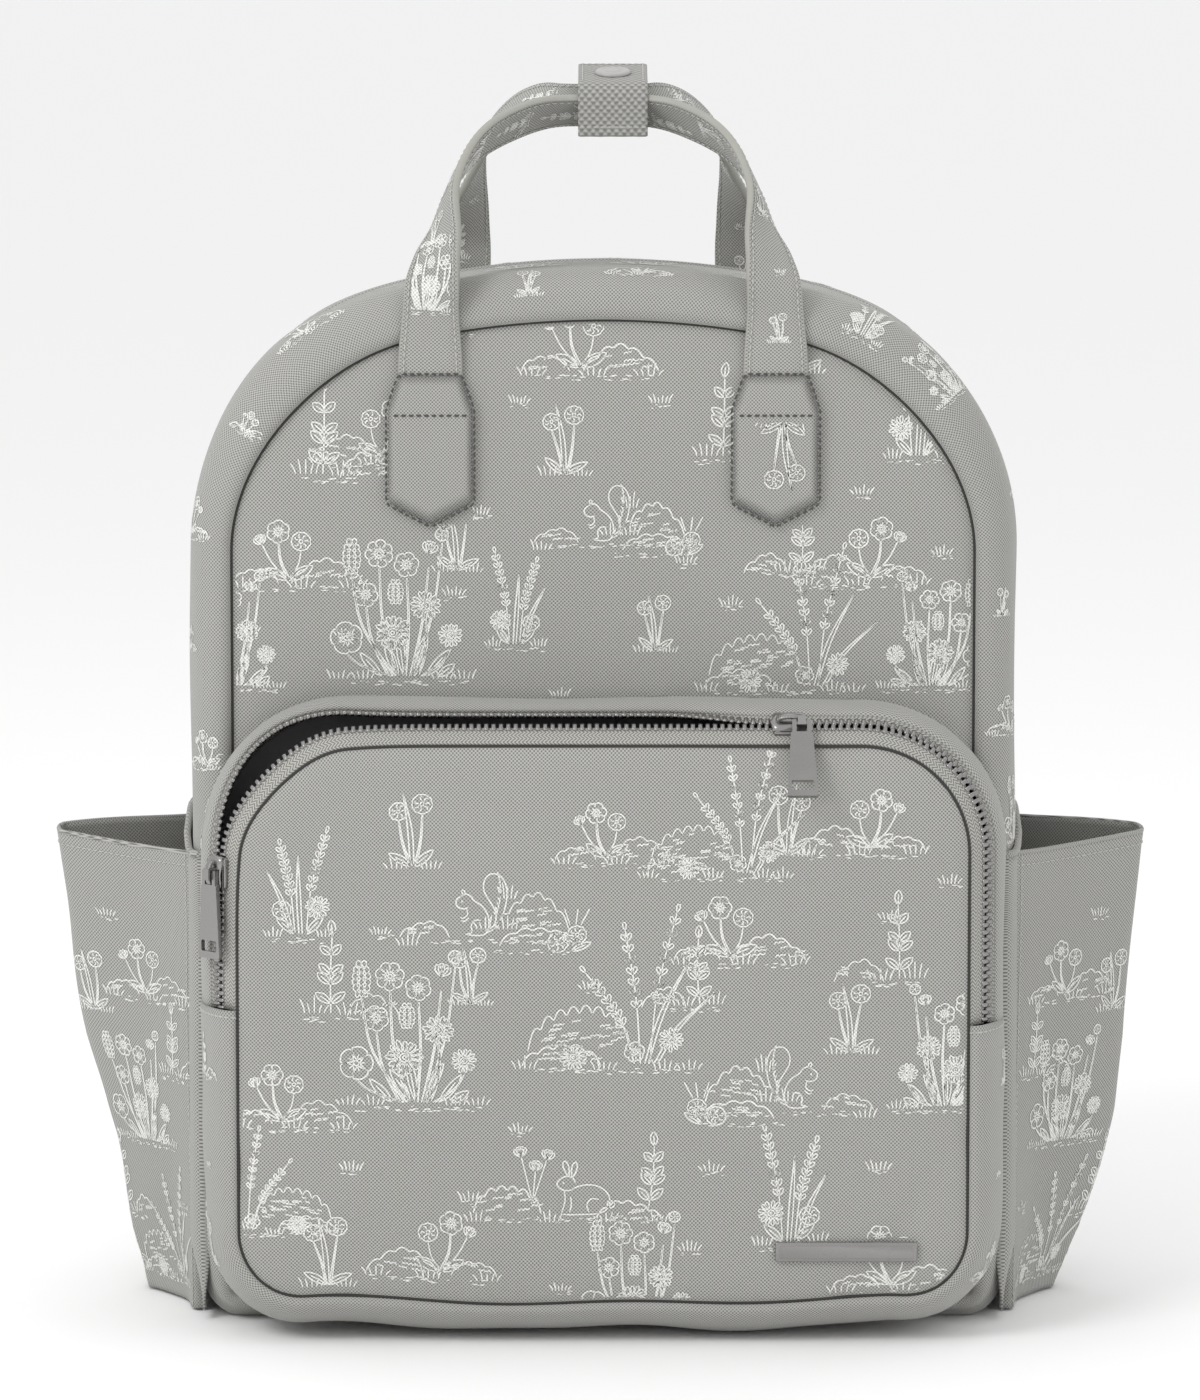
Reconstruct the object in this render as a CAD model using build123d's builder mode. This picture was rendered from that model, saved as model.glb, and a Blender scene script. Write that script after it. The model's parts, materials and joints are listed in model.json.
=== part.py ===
"""Diaper backpack with an arched body, a bulging zipped front pocket, two flared
side pockets, twin carry handles held together by a snap wrap, and shoulder straps.

Frame: +Z up, the front of the bag faces -Y, the origin is the centre of the flat
base.  Millimetres.  Each sewn piece, zip part and fitting is its own solid.
"""

from build123d import *
import math
import os

os.makedirs("parts", exist_ok=True)

# ----------------------------------------------------------------- dimensions
HALF_W = 160.0          # half width of the body
APEX = 428.7            # height where the two top lines would meet
SHOULDER = 398.7        # height of the top line at the body's side
R_SHOULDER = 105.0      # radius of the arch's shoulders
R_APEX = 380.0          # radius of the arch's crown
R_BASE = 12.0           # radius of the body's lower corners
Y_FRONT = -70.0         # outer face of the front panel
Y_BACK = 70.0           # outer face of the back panel
PANEL_T = 2.5           # front and back panel thickness
GUSSET_T = 3.0          # gusset thickness, cloth and padding
FOLD_Z = 256.5          # line the front folds on when the main zip is undone
FOLD_GAP = 0.5
ZIP_Y = 36.0            # plane of the main zip
ZIP_END_Z = 205.0       # lower ends of the main zip
ZIP_HALF = 8.0          # half width of the zip slot in the gusset

POCKET_HALF = 144.0     # half width of the pocket face
POCKET_TOP = 239.0      # upper edge of the pocket face
POCKET_BOTTOM = 18.0    # lower edge of the pocket face
POCKET_R_TOP = 43.0
POCKET_R_BOTTOM = 26.0
POCKET_Y = -116.0       # seam between the pocket face and its gusset
POCKET_FACE_Y = (-119.6, -117.0)
ZIP_END_L = 134.0       # lower ends of the pocket zip
ZIP_END_R = 128.0
SLIDER_L_Z = 188.0      # where the pocket's two sliders stand
SLIDER_R_X = 73.0
CHAIN_S = 10.0          # distance from the face seam to the pocket chain

TAPE_T = 0.8
TOOTH_W = 1.5
TOOTH_T = 2.0

SIDE_TOP = 190.0        # side pocket mouth
SIDE_OUT_TOP = 222.0
SIDE_OUT_BOTTOM = 184.0
SIDE_WALL = 1.6

STRAP_W = 22.0          # carry handle strap
STRAP_T = 3.0
HANDLE_X = 68.5
PATCH_W = 31.0
WRAP_X = 4.0            # centre of the snap wrap
WRAP_W = 28.0

SHOULDER_X = 62.0       # centre of each shoulder strap
PAD_W = 56.0
WEB_W = 25.0

SIN45 = math.sqrt(0.5)


def save(built, label):
    """Labels a finished piece and writes its STEP."""
    built.part.label = label
    export_step(built.part, f"parts/{label}.step")


# ------------------------------------------------------------- body outline
SLOPE = math.atan((APEX - SHOULDER) / HALF_W)


def body_points(inset):
    """Corners and radii of the body's front outline, moved inward."""
    w = HALF_W - inset
    drop = inset / math.cos(SLOPE)
    side = APEX - math.tan(SLOPE) * w - drop
    points = [(-w, inset), (w, inset), (w, side), (0, APEX - drop), (-w, side)]
    lower = max(R_BASE - inset, 2.0)
    return points, [lower, lower, R_SHOULDER - inset, R_APEX - inset, R_SHOULDER - inset]


def body_plate(y_front, y_back, inset, z_low=None, z_high=None):
    points, radii = body_points(inset)
    with BuildPart() as plate:
        with BuildSketch(Plane.XZ.offset(-y_back)):
            with BuildLine():
                FilletPolyline(*points, radius=radii, close=True)
            make_face()
        extrude(amount=y_back - y_front)
        if z_low is not None:
            split(bisect_by=Plane.XY.offset(z_low), keep=Keep.TOP)
        if z_high is not None:
            split(bisect_by=Plane.XY.offset(z_high), keep=Keep.BOTTOM)
    return plate


def body_band(y_front, y_back, outer, inner, z_low=None, z_high=None):
    """A ring that follows the outline, from one inset to a deeper one."""
    outer_points, outer_radii = body_points(outer)
    inner_points, inner_radii = body_points(inner)
    with BuildPart() as ring:
        with BuildSketch(Plane.XZ.offset(-y_back)):
            with BuildLine():
                FilletPolyline(*outer_points, radius=outer_radii, close=True)
            make_face()
            with BuildLine():
                FilletPolyline(*inner_points, radius=inner_radii, close=True)
            make_face(mode=Mode.SUBTRACT)
        extrude(amount=y_back - y_front)
        if z_low is not None:
            split(bisect_by=Plane.XY.offset(z_low), keep=Keep.TOP)
        if z_high is not None:
            split(bisect_by=Plane.XY.offset(z_high), keep=Keep.BOTTOM)
    return ring


def cut_box(low, high):
    """Takes a box away from the part that is open."""
    size = [b - a for a, b in zip(low, high)]
    mid = [(a + b) / 2 for a, b in zip(low, high)]
    with Locations(tuple(mid)):
        Box(*size, mode=Mode.SUBTRACT)


def add_box(low, high):
    size = [b - a for a, b in zip(low, high)]
    mid = [(a + b) / 2 for a, b in zip(low, high)]
    with Locations(tuple(mid)):
        Box(*size)


IN_FRONT = Y_FRONT + PANEL_T      # inner faces of the front and back panels
IN_BACK = Y_BACK - PANEL_T
FLAP_Z = FOLD_Z + FOLD_GAP

# ------------------------------------------------------------ main body shell
front_lower = body_plate(Y_FRONT, IN_FRONT, 0, z_high=FOLD_Z)
save(front_lower, "front_panel_lower")

front_upper = body_plate(Y_FRONT, IN_FRONT, 0, z_low=FLAP_Z)
save(front_upper, "front_panel_upper")

back = body_plate(IN_BACK, Y_BACK, 0)
save(back, "back_panel")

with BuildPart() as base:
    add_box((-135, IN_FRONT, 0), (135, IN_BACK, GUSSET_T))
save(base, "base_panel")

for side, name in ((-1, "left"), (1, "right")):
    wall_band = body_band(IN_FRONT, IN_BACK, 0, GUSSET_T, z_high=FOLD_Z)
    with BuildPart() as wall:
        add(wall_band.part)
        if side > 0:
            cut_box((-200, -90, -10), (135, 90, 300))
        else:
            cut_box((-135, -90, -10), (200, 90, 300))
        cut_box(
            (min(side * 140, side * 170), ZIP_Y - ZIP_HALF, ZIP_END_Z),
            (max(side * 140, side * 170), ZIP_Y + ZIP_HALF, 300),
        )
        # notch for the stop at the end of the chain
        cut_box(
            (min(side * 140, side * 170), ZIP_Y - 2.8, ZIP_END_Z - 3.6),
            (max(side * 140, side * 170), ZIP_Y + 2.8, ZIP_END_Z + 1),
        )
    save(wall, f"side_gusset_{name}")

front_arch = body_band(IN_FRONT, ZIP_Y - ZIP_HALF, 0, GUSSET_T, z_low=FLAP_Z)
save(front_arch, "top_gusset_front")

rear_arch = body_band(ZIP_Y + ZIP_HALF, IN_BACK, 0, GUSSET_T, z_low=FOLD_Z)
save(rear_arch, "top_gusset_rear")

# ------------------------------------------------------------- main zip
TAPE_IN = GUSSET_T / 2 - TAPE_T / 2
TAPE_OUT = GUSSET_T / 2 + TAPE_T / 2
TOOTH_IN = GUSSET_T / 2 - TOOTH_T / 2
TOOTH_OUT = GUSSET_T / 2 + TOOTH_T / 2
CHAIN_GAP = 0.06

tape_front = body_band(
    ZIP_Y - ZIP_HALF, ZIP_Y - TOOTH_W - CHAIN_GAP, TAPE_IN, TAPE_OUT, z_low=FLAP_Z
)
save(tape_front, "main_zip_tape_front")
tape_rear = body_band(
    ZIP_Y + TOOTH_W + CHAIN_GAP, ZIP_Y + ZIP_HALF, TAPE_IN, TAPE_OUT, z_low=ZIP_END_Z
)
save(tape_rear, "main_zip_tape_rear")
teeth_front = body_band(
    ZIP_Y - TOOTH_W - CHAIN_GAP, ZIP_Y - CHAIN_GAP, TOOTH_IN, TOOTH_OUT, z_low=FLAP_Z
)
save(teeth_front, "main_zip_teeth_front")
teeth_rear = body_band(
    ZIP_Y + CHAIN_GAP, ZIP_Y + TOOTH_W + CHAIN_GAP, TOOTH_IN, TOOTH_OUT, z_low=ZIP_END_Z
)
save(teeth_rear, "main_zip_teeth_rear")

# front half of the chain below the fold, one length on each side of the bag
tape_low = body_band(
    ZIP_Y - ZIP_HALF, ZIP_Y - TOOTH_W - CHAIN_GAP, TAPE_IN, TAPE_OUT, ZIP_END_Z, FOLD_Z
)
teeth_low = body_band(
    ZIP_Y - TOOTH_W - CHAIN_GAP, ZIP_Y - CHAIN_GAP, TOOTH_IN, TOOTH_OUT, ZIP_END_Z, FOLD_Z
)
with BuildPart() as chain_low:
    add(tape_low.part)
    add(teeth_low.part)
save(chain_low, "main_zip_front_ends")

# stops crimped across both rows at the lower ends of the chain
with BuildPart() as main_stops:
    for side in (-1, 1):
        x = side * (HALF_W - GUSSET_T / 2)
        add_box((x - 1.6, ZIP_Y - 2.4, ZIP_END_Z - 3.2), (x + 1.6, ZIP_Y + 2.4, ZIP_END_Z - 0.2))
save(main_stops, "main_zip_end_stops")

# ------------------------------------------------------------- inside the body
FOAM_Y = (62.5, IN_BACK - 0.1)
foam = body_plate(FOAM_Y[0], FOAM_Y[1], 6.0, z_low=8.0)
save(foam, "back_foam_pad")

LIN = 0.7
lining_y = (IN_FRONT + 0.2, FOAM_Y[0] - 0.2)
LIN_OUT, LIN_IN = GUSSET_T + 0.2, GUSSET_T + 0.2 + LIN
lin_low = body_band(lining_y[0], lining_y[1], LIN_OUT, LIN_IN, z_high=FOLD_Z - 0.5)
lin_high = body_band(ZIP_Y + 10, lining_y[1], LIN_OUT, LIN_IN, z_low=FOLD_Z - 0.5)
lin_back = body_plate(lining_y[1] - LIN, lining_y[1], LIN_OUT)
lin_front = body_plate(lining_y[0], lining_y[0] + LIN, LIN_OUT, z_high=FOLD_Z - 0.5)
with BuildPart() as lining:
    add(lin_low.part)
    add(lin_high.part)
    add(lin_back.part)
    add(lin_front.part)
    for side in (-1, 1):
        cut_box(
            (min(side * 150, side * 160), ZIP_Y - 10, ZIP_END_Z - 5),
            (max(side * 150, side * 160), ZIP_Y + 10, FOLD_Z + 4),
        )
save(lining, "main_lining")

flap_band = body_band(lining_y[0], ZIP_Y - 10, LIN_OUT, LIN_IN, z_low=FLAP_Z + 0.5)
flap_sheet = body_plate(lining_y[0], lining_y[0] + LIN, LIN_OUT, z_low=FLAP_Z + 0.5)
with BuildPart() as flap_lining:
    add(flap_band.part)
    add(flap_sheet.part)
save(flap_lining, "flap_lining")

with BuildPart() as board:
    with BuildSketch(Plane.XY.offset(GUSSET_T + 1.1)):
        with Locations((0, -2.6)):
            RectangleRounded(286, 122, 8)
    extrude(amount=1.5)
save(board, "base_board")

# ------------------------------------------------------------- front pocket
def pocket_path_points(z_left, z_right):
    """Corners of the zip's path over the top of the pocket face, left to right."""
    return (
        [
            (-POCKET_HALF, z_left),
            (-POCKET_HALF, POCKET_TOP),
            (POCKET_HALF, POCKET_TOP),
            (POCKET_HALF, z_right),
        ],
        [POCKET_R_TOP, POCKET_R_TOP],
    )


def sweep_over(points, radii, section, tangent, outward):
    """Sweeps a section along a path in the plane of the face seam.

    section holds (outward distance from the seam, y) pairs."""
    start = (points[0][0], POCKET_Y, points[0][1])
    normal = Vector(*tangent)
    across = Vector(*outward)
    up = normal.cross(across)
    flat = [(o, (y - POCKET_Y) * up.Y) for o, y in section]
    with BuildPart() as swept:
        with BuildLine(Plane.XZ.offset(-POCKET_Y)) as path:
            if radii:
                FilletPolyline(*points, radius=radii)
            else:
                Line(points[0], points[1])
        with BuildSketch(Plane(origin=start, x_dir=across, z_dir=normal)) as shape:
            with BuildLine():
                Polyline(*flat, close=True)
            make_face()
        sweep(sections=shape.sketch, path=path.wires()[0])
    return swept


def slanted(s_from, s_to, half):
    """A strip on the slanted zip plane, from one distance off the seam to another."""
    out = []
    for s, n in ((s_from, half), (s_to, half), (s_to, -half), (s_from, -half)):
        out.append((SIN45 * (s + n), POCKET_Y + SIN45 * (s - n)))
    return out


UP, LEFT = (0, 0, 1), (-1, 0, 0)
zip_points, zip_radii = pocket_path_points(ZIP_END_L, ZIP_END_R)

with BuildPart() as face:
    with BuildSketch(Plane.XZ.offset(-POCKET_FACE_Y[1])):
        with BuildLine():
            FilletPolyline(
                (-POCKET_HALF + 0.3, POCKET_BOTTOM + 0.3),
                (POCKET_HALF - 0.3, POCKET_BOTTOM + 0.3),
                (POCKET_HALF - 0.3, POCKET_TOP - 0.3),
                (-POCKET_HALF + 0.3, POCKET_TOP - 0.3),
                radius=[POCKET_R_BOTTOM, POCKET_R_BOTTOM, POCKET_R_TOP, POCKET_R_TOP],
                close=True,
            )
        make_face()
    extrude(amount=POCKET_FACE_Y[1] - POCKET_FACE_Y[0])
    fillet(face.faces().sort_by(Axis.Y)[0].edges(), radius=1.6)
save(face, "pocket_face_panel")

save(
    sweep_over(zip_points, zip_radii, slanted(0.6, CHAIN_S - TOOTH_W - 0.06, TAPE_T / 2), UP, LEFT),
    "pocket_zip_tape_front",
)
save(
    sweep_over(
        zip_points, zip_radii, slanted(CHAIN_S - TOOTH_W - 0.06, CHAIN_S - 0.06, TOOTH_T / 2), UP, LEFT
    ),
    "pocket_zip_teeth_front",
)

# the chain is closed below the left slider and beyond the right one, and parted between
OPEN_FROM_Z = SLIDER_L_Z + 7.0
OPEN_TO_X = SLIDER_R_X - 7.0
closed_left = ([(-POCKET_HALF, ZIP_END_L), (-POCKET_HALF, OPEN_FROM_Z)], None, UP, LEFT)
opened = (
    [(-POCKET_HALF, OPEN_FROM_Z), (-POCKET_HALF, POCKET_TOP), (OPEN_TO_X, POCKET_TOP)],
    [POCKET_R_TOP],
    UP,
    LEFT,
)
closed_right = (
    [(OPEN_TO_X, POCKET_TOP), (POCKET_HALF, POCKET_TOP), (POCKET_HALF, ZIP_END_R)],
    [POCKET_R_TOP],
    (1, 0, 0),
    (0, 0, 1),
)


def rear_row(closed_section, open_section):
    """A strip of the rear half of the zip in its closed, parted and closed lengths."""
    with BuildPart() as row:
        for points, radii, tangent, outward in (closed_left, closed_right):
            add(sweep_over(points, radii, closed_section, tangent, outward).part)
        points, radii, tangent, outward = opened
        add(sweep_over(points, radii, open_section, tangent, outward).part)
    return row


save(
    rear_row(
        slanted(CHAIN_S + 0.06, CHAIN_S + TOOTH_W + 0.06, TOOTH_T / 2),
        [(9.0, -98.0), (11.0, -98.0), (11.0, -96.5), (9.0, -96.5)],
    ),
    "pocket_zip_teeth_rear",
)
save(
    rear_row(
        slanted(CHAIN_S + TOOTH_W + 0.06, CHAIN_S + 5.1, TAPE_T / 2),
        [(9.6, -96.5), (10.4, -96.5), (10.4, -93.0), (9.6, -93.0)],
    ),
    "pocket_zip_tape_rear",
)
save(
    rear_row(
        [
            (11.32, -105.8), (14.5, -97.0), (14.5, -84.0), (10.5, -70.2),
            (9.0, -70.2), (12.8, -84.5), (12.8, -96.5), (10.18, -104.7),
        ],
        [
            (11.3, -93.0), (14.5, -88.0), (14.5, -82.0), (10.5, -70.2),
            (9.0, -70.2), (12.8, -82.5), (12.8, -87.5), (9.7, -93.0),
        ],
    ),
    "pocket_gusset_upper",
)

lower_points = [
    (-POCKET_HALF, ZIP_END_L - 0.2),
    (-POCKET_HALF, POCKET_BOTTOM),
    (POCKET_HALF, POCKET_BOTTOM),
    (POCKET_HALF, ZIP_END_R - 0.2),
]
save(
    sweep_over(
        lower_points,
        [POCKET_R_BOTTOM, POCKET_R_BOTTOM],
        [
            (0.3, -116.6), (8.0, -111.6), (13.5, -103.0), (14.5, -94.0), (14.5, -84.0), (10.5, -70.2),
            (9.0, -70.2), (12.8, -84.5), (12.8, -93.5), (11.9, -102.0), (7.0, -109.9), (0.3, -114.8),
        ],
        (0, 0, -1),
        LEFT,
    ),
    "pocket_gusset_lower",
)

# lining sheets of the pocket: behind the face and against the body
with BuildPart() as pocket_lining:
    with BuildSketch(Plane.XZ.offset(-(POCKET_FACE_Y[1] + 0.8))):
        with BuildLine():
            FilletPolyline(
                (-POCKET_HALF + 4, POCKET_BOTTOM + 4),
                (POCKET_HALF - 4, POCKET_BOTTOM + 4),
                (POCKET_HALF - 4, POCKET_TOP - 4),
                (-POCKET_HALF + 4, POCKET_TOP - 4),
                radius=[POCKET_R_BOTTOM - 4, POCKET_R_BOTTOM - 4, POCKET_R_TOP - 4, POCKET_R_TOP - 4],
                close=True,
            )
        make_face()
    extrude(amount=0.6)
    with BuildSketch(Plane.XZ.offset(-Y_FRONT + 0.15)):
        with BuildLine():
            FilletPolyline(
                (-POCKET_HALF - 5, POCKET_BOTTOM - 5),
                (POCKET_HALF + 5, POCKET_BOTTOM - 5),
                (POCKET_HALF + 5, POCKET_TOP + 5),
                (-POCKET_HALF - 5, POCKET_TOP + 5),
                radius=[POCKET_R_BOTTOM, POCKET_R_BOTTOM, POCKET_R_TOP, POCKET_R_TOP],
                close=True,
            )
        make_face()
    extrude(amount=0.6)
save(pocket_lining, "pocket_lining")

# folded cloth tabs over the two ends of the pocket zip
with BuildPart() as zip_tabs:
    for side, z_end in ((-1, ZIP_END_L), (1, ZIP_END_R)):
        x = side * (POCKET_HALF + SIN45 * (CHAIN_S + 1.75))
        y = POCKET_Y + SIN45 * (CHAIN_S - 1.75)
        with Locations(Location((x, y, z_end + 2.2), (0, 0, side * 45))):
            Box(9.0, 1.0, 4.2)
save(zip_tabs, "pocket_zip_end_tabs")


# ------------------------------------------------------------- zip sliders
SL_L, SL_W, SL_T = 13.0, 9.0, 1.5        # length, width and plate thickness
CH_HALF, CH_IN = 1.25, 2.1               # channel half height and half width
HINGE_N = 5.1                            # hinge pin above the chain's plane


def make_slider(plane, eye, eye_along_travel, label):
    """A slider in a plane whose x is its travel, y across the chain and z outward."""
    with BuildPart() as slider:
        for sign in (-1, 1):
            low = CH_HALF if sign > 0 else -CH_HALF - SL_T
            with BuildSketch(plane.offset(low)):
                Trapezoid(SL_L, SL_W, 84, rotation=0)
            extrude(amount=SL_T)
        # side lips that hold the teeth and leave a slit for the tape
        for across in (-1, 1):
            for sign in (-1, 1):
                low = 0.62 if sign > 0 else -CH_HALF
                with BuildSketch(plane.offset(low)):
                    with Locations((0, across * (CH_IN + 0.75))):
                        Rectangle(SL_L - 1.5, 1.3)
                extrude(amount=CH_HALF - 0.62)
        # the eye that the pull hangs from
        with BuildSketch(plane.offset(CH_HALF + SL_T)):
            with Locations(eye):
                if eye_along_travel:
                    Rectangle(3.2, 4.6)
                else:
                    Rectangle(4.6, 3.2)
        extrude(amount=HINGE_N - CH_HALF - SL_T + 2.3)
        axis_dir = plane.x_dir if eye_along_travel else plane.y_dir
        centre = plane.from_local_coords(Vector(eye[0], eye[1], HINGE_N))
        bore = Plane(origin=centre, z_dir=axis_dir)
        with BuildSketch(bore.offset(-4)):
            Circle(1.2)
        extrude(amount=8, mode=Mode.SUBTRACT)
    save(slider, label)
    return centre, axis_dir


def make_pull(plane, label):
    """A pull tab in a plane whose x is its hinge, -y the way it hangs and z its face."""
    with BuildPart() as pull:
        with BuildSketch(plane.offset(-0.9)) as outline:
            with BuildLine():
                Polyline((-4.3, -4.2), (4.3, -4.2), (6.1, -33.5), (-6.1, -33.5), close=True)
            make_face()
            fillet(outline.vertices(), 0.8)
            with Locations((0, -28.6)):
                RectangleRounded(8.8, 4.4, 0.8, mode=Mode.SUBTRACT)
        extrude(amount=1.8)
        for sign in (-1, 1):
            with BuildSketch(plane.offset(-0.9)):
                with Locations((sign * 2.9, -1.6)):
                    Rectangle(1.7, 6.0)
            extrude(amount=1.8)
        pin = Plane(origin=plane.origin, z_dir=plane.x_dir)
        with BuildSketch(pin.offset(-3.7)):
            Circle(0.85)
        extrude(amount=7.4)
    save(pull, label)


def seam_point(s, n):
    """(outward, y) of a point on the slanted zip plane."""
    return SIN45 * (s + n), POCKET_Y + SIN45 * (s - n)


# right slider of the pocket, on the top run
o, y = seam_point(CHAIN_S, 0)
top_plane = Plane(
    origin=(SLIDER_R_X, y, POCKET_TOP + o), x_dir=(1, 0, 0), z_dir=(0, -SIN45, SIN45)
)
centre_r, _ = make_slider(top_plane, (4.9, -2.6), True, "pocket_slider_right")
TILT = math.radians(38)
hang = Vector(0, -math.sin(TILT), -math.cos(TILT))
face_dir = Vector(1, 0, 0).cross(-hang)
make_pull(Plane(origin=centre_r, x_dir=(1, 0, 0), z_dir=face_dir), "pocket_pull_right")

# left slider of the pocket, on the left run
left_plane = Plane(
    origin=(-POCKET_HALF - o, y, SLIDER_L_Z), x_dir=(0, 0, 1), z_dir=(-SIN45, -SIN45, 0)
)
centre_l, axis_l = make_slider(left_plane, (0, 0), False, "pocket_slider_left")
make_pull(
    Plane(origin=centre_l, x_dir=-left_plane.y_dir, z_dir=left_plane.z_dir), "pocket_pull_left"
)

# slider of the main zip, at the lower right end of its chain
MAIN_SLIDER_Z = 226.0
main_plane = Plane(
    origin=(HALF_W - GUSSET_T / 2, ZIP_Y, MAIN_SLIDER_Z), x_dir=(0, 0, 1), z_dir=(1, 0, 0)
)
centre_m, axis_m = make_slider(main_plane, (0, 0), False, "main_slider")
make_pull(Plane(origin=centre_m, x_dir=-main_plane.y_dir, z_dir=main_plane.z_dir), "main_pull")

# ------------------------------------------------------------- side pockets
for side, name in ((-1, "left"), (1, "right")):
    def ring(z, half, out, tip):
        return [
            (side * 161.0, -half), (side * out, -tip), (side * out, tip), (side * 161.0, half)
        ]

    with BuildPart() as pouch:
        for z, half, out in ((0, 50.0, SIDE_OUT_BOTTOM), (SIDE_TOP, 58.0, SIDE_OUT_TOP)):
            with BuildSketch(Plane.XY.offset(z)):
                with BuildLine():
                    Polyline(*ring(z, half, out, 9.0), close=True)
                make_face()
        loft(ruled=True)
        for z, half, out, tip in (
            (0, 46.7, SIDE_OUT_BOTTOM - SIDE_WALL, 8.6),
            (SIDE_TOP, 55.9, SIDE_OUT_TOP - SIDE_WALL, 8.2),
        ):
            with BuildSketch(Plane.XY.offset(z)):
                with BuildLine():
                    Polyline(*ring(z, half, out, tip), close=True)
                make_face()
        loft(ruled=True, mode=Mode.SUBTRACT)
        with BuildSketch(Plane.XY):
            with BuildLine():
                Polyline(*ring(0, 49.5, SIDE_OUT_BOTTOM - 0.3, 8.8), close=True)
            make_face()
        extrude(amount=SIDE_WALL)
    save(pouch, f"side_pocket_{name}")

    with BuildPart() as backing:
        x1, x2 = sorted((side * 160.1, side * 160.95))
        add_box((x1, -58, 4), (x2, 58, 206))
    save(backing, f"side_pocket_backing_{name}")

# ------------------------------------------------------------- carry handles
def strap(stations, label):
    """A flat strap through stations of (point, edge direction, travel direction)."""
    with BuildPart() as band:
        for point, edge, travel in stations:
            e = Vector(*edge).normalized()
            t = Vector(*travel)
            t = (t - e * t.dot(e)).normalized()
            with BuildSketch(Plane(origin=point, x_dir=e, z_dir=t)):
                Rectangle(STRAP_W, STRAP_T)
        loft(ruled=True)
    save(band, label)


def arch(half):
    """Mirrors the right half's stations, bottom to top, into a whole handle."""
    out = []
    for (x, y, z), (ex, ey, ez), (tx, ty, tz) in half:
        out.append(((x, y, z), (ex, ey, ez), (tx, ty, tz)))
    for (x, y, z), (ex, ey, ez), (tx, ty, tz) in reversed(half[:-1]):
        out.append(((-x, y, z), (-ex, ey, ez), (tx, -ty, -tz)))
    return out


front_half = [
    ((HANDLE_X, -71.9, 381.0), (-1, 0, 0), (0, 0, 1)),
    ((68.2, -72.4, 404.0), (-1, -0.02, 0), (-0.02, 0, 1)),
    ((67.4, -75.4, 418.0), (-0.97, -0.25, 0), (-0.1, 0.05, 1)),
    ((66.0, -72.5, 428.0), (-0.8, -0.6, 0), (-0.15, 0.4, 1)),
    ((63.5, -63.0, 440.0), (-0.42, -0.9, 0), (-0.15, 0.6, 1)),
    ((60.0, -51.0, 456.0), (-0.1, -1.0, 0.1), (-0.35, 0.65, 0.9)),
    ((51.0, -38.0, 470.5), (0, -0.92, 0.35), (-0.75, 0.6, 0.7)),
    ((37.0, -23.0, 481.0), (0, -0.82, 0.55), (-0.9, 0.5, 0.4)),
    ((20.0, -11.4, 486.6), (0, -0.75, 0.66), (-1, 0.15, 0.1)),
    ((0.0, -11.0, 487.0), (0, -0.75, 0.66), (-1, 0, 0)),
]
strap(arch(front_half), "front_handle")

rear_half = [
    ((58.0, 71.9, 395.0), (-1, 0, 0), (0, 0, 1)),
    ((58.0, 71.9, 419.0), (-1, 0, 0), (0, -0.05, 1)),
    ((57.0, 69.0, 436.0), (-0.8, 0.6, 0), (-0.08, -0.4, 1)),
    ((55.0, 58.5, 452.0), (-0.35, 0.93, 0), (-0.2, -0.6, 0.9)),
    ((50.5, 46.0, 465.0), (0, 1.0, 0.15), (-0.4, -0.7, 0.7)),
    ((42.0, 32.0, 475.5), (0, 0.92, 0.35), (-0.75, -0.7, 0.6)),
    ((31.0, 18.0, 482.8), (0, 0.82, 0.55), (-0.9, -0.5, 0.3)),
    ((20.0, 8.4, 486.6), (0, 0.75, 0.66), (-1, -0.2, 0.1)),
    ((0.0, 8.0, 487.0), (0, 0.75, 0.66), (-1, 0, 0)),
]
strap(arch(rear_half), "rear_handle")

for side, name in ((-1, "left"), (1, "right")):
    cx = side * HANDLE_X
    half, neck = PATCH_W / 2, STRAP_W / 2
    with BuildPart() as patch:
        with BuildSketch(Plane.XZ.offset(-Y_FRONT + 0.1)):
            with BuildLine():
                Polyline(
                    (cx - half, 332), (cx, 324), (cx + half, 332), (cx + half, 368),
                    (cx + neck, 380.5), (cx - neck, 380.5), (cx - half, 368),
                    close=True,
                )
            make_face()
        extrude(amount=2.6)
    save(patch, f"handle_patch_{name}")

with BuildPart() as yoke:
    with BuildSketch(Plane.XZ.offset(-Y_BACK - 3.1)):
        with Locations((0, 373)):
            RectangleRounded(196, 42, 8)
    extrude(amount=2.9)
save(yoke, "back_yoke")

# ------------------------------------------------------------- handle wrap
def wrap_section(points, label):
    with BuildPart() as piece:
        with BuildSketch(Plane.YZ.offset(WRAP_X - WRAP_W / 2)):
            with BuildLine():
                Polyline(*points, close=True)
            make_face()
        extrude(amount=WRAP_W)
    save(piece, label)


# the fixed layer: under the handles, up behind them and over their tops
wrap_section(
    [
        (-21.2, 474.8), (20.1, 474.8), (20.1, 497.6), (-19.0, 497.6),
        (-19.0, 496.0), (18.5, 496.0), (18.5, 476.4), (-21.2, 476.4),
    ],
    "wrap_under_layer",
)
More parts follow.
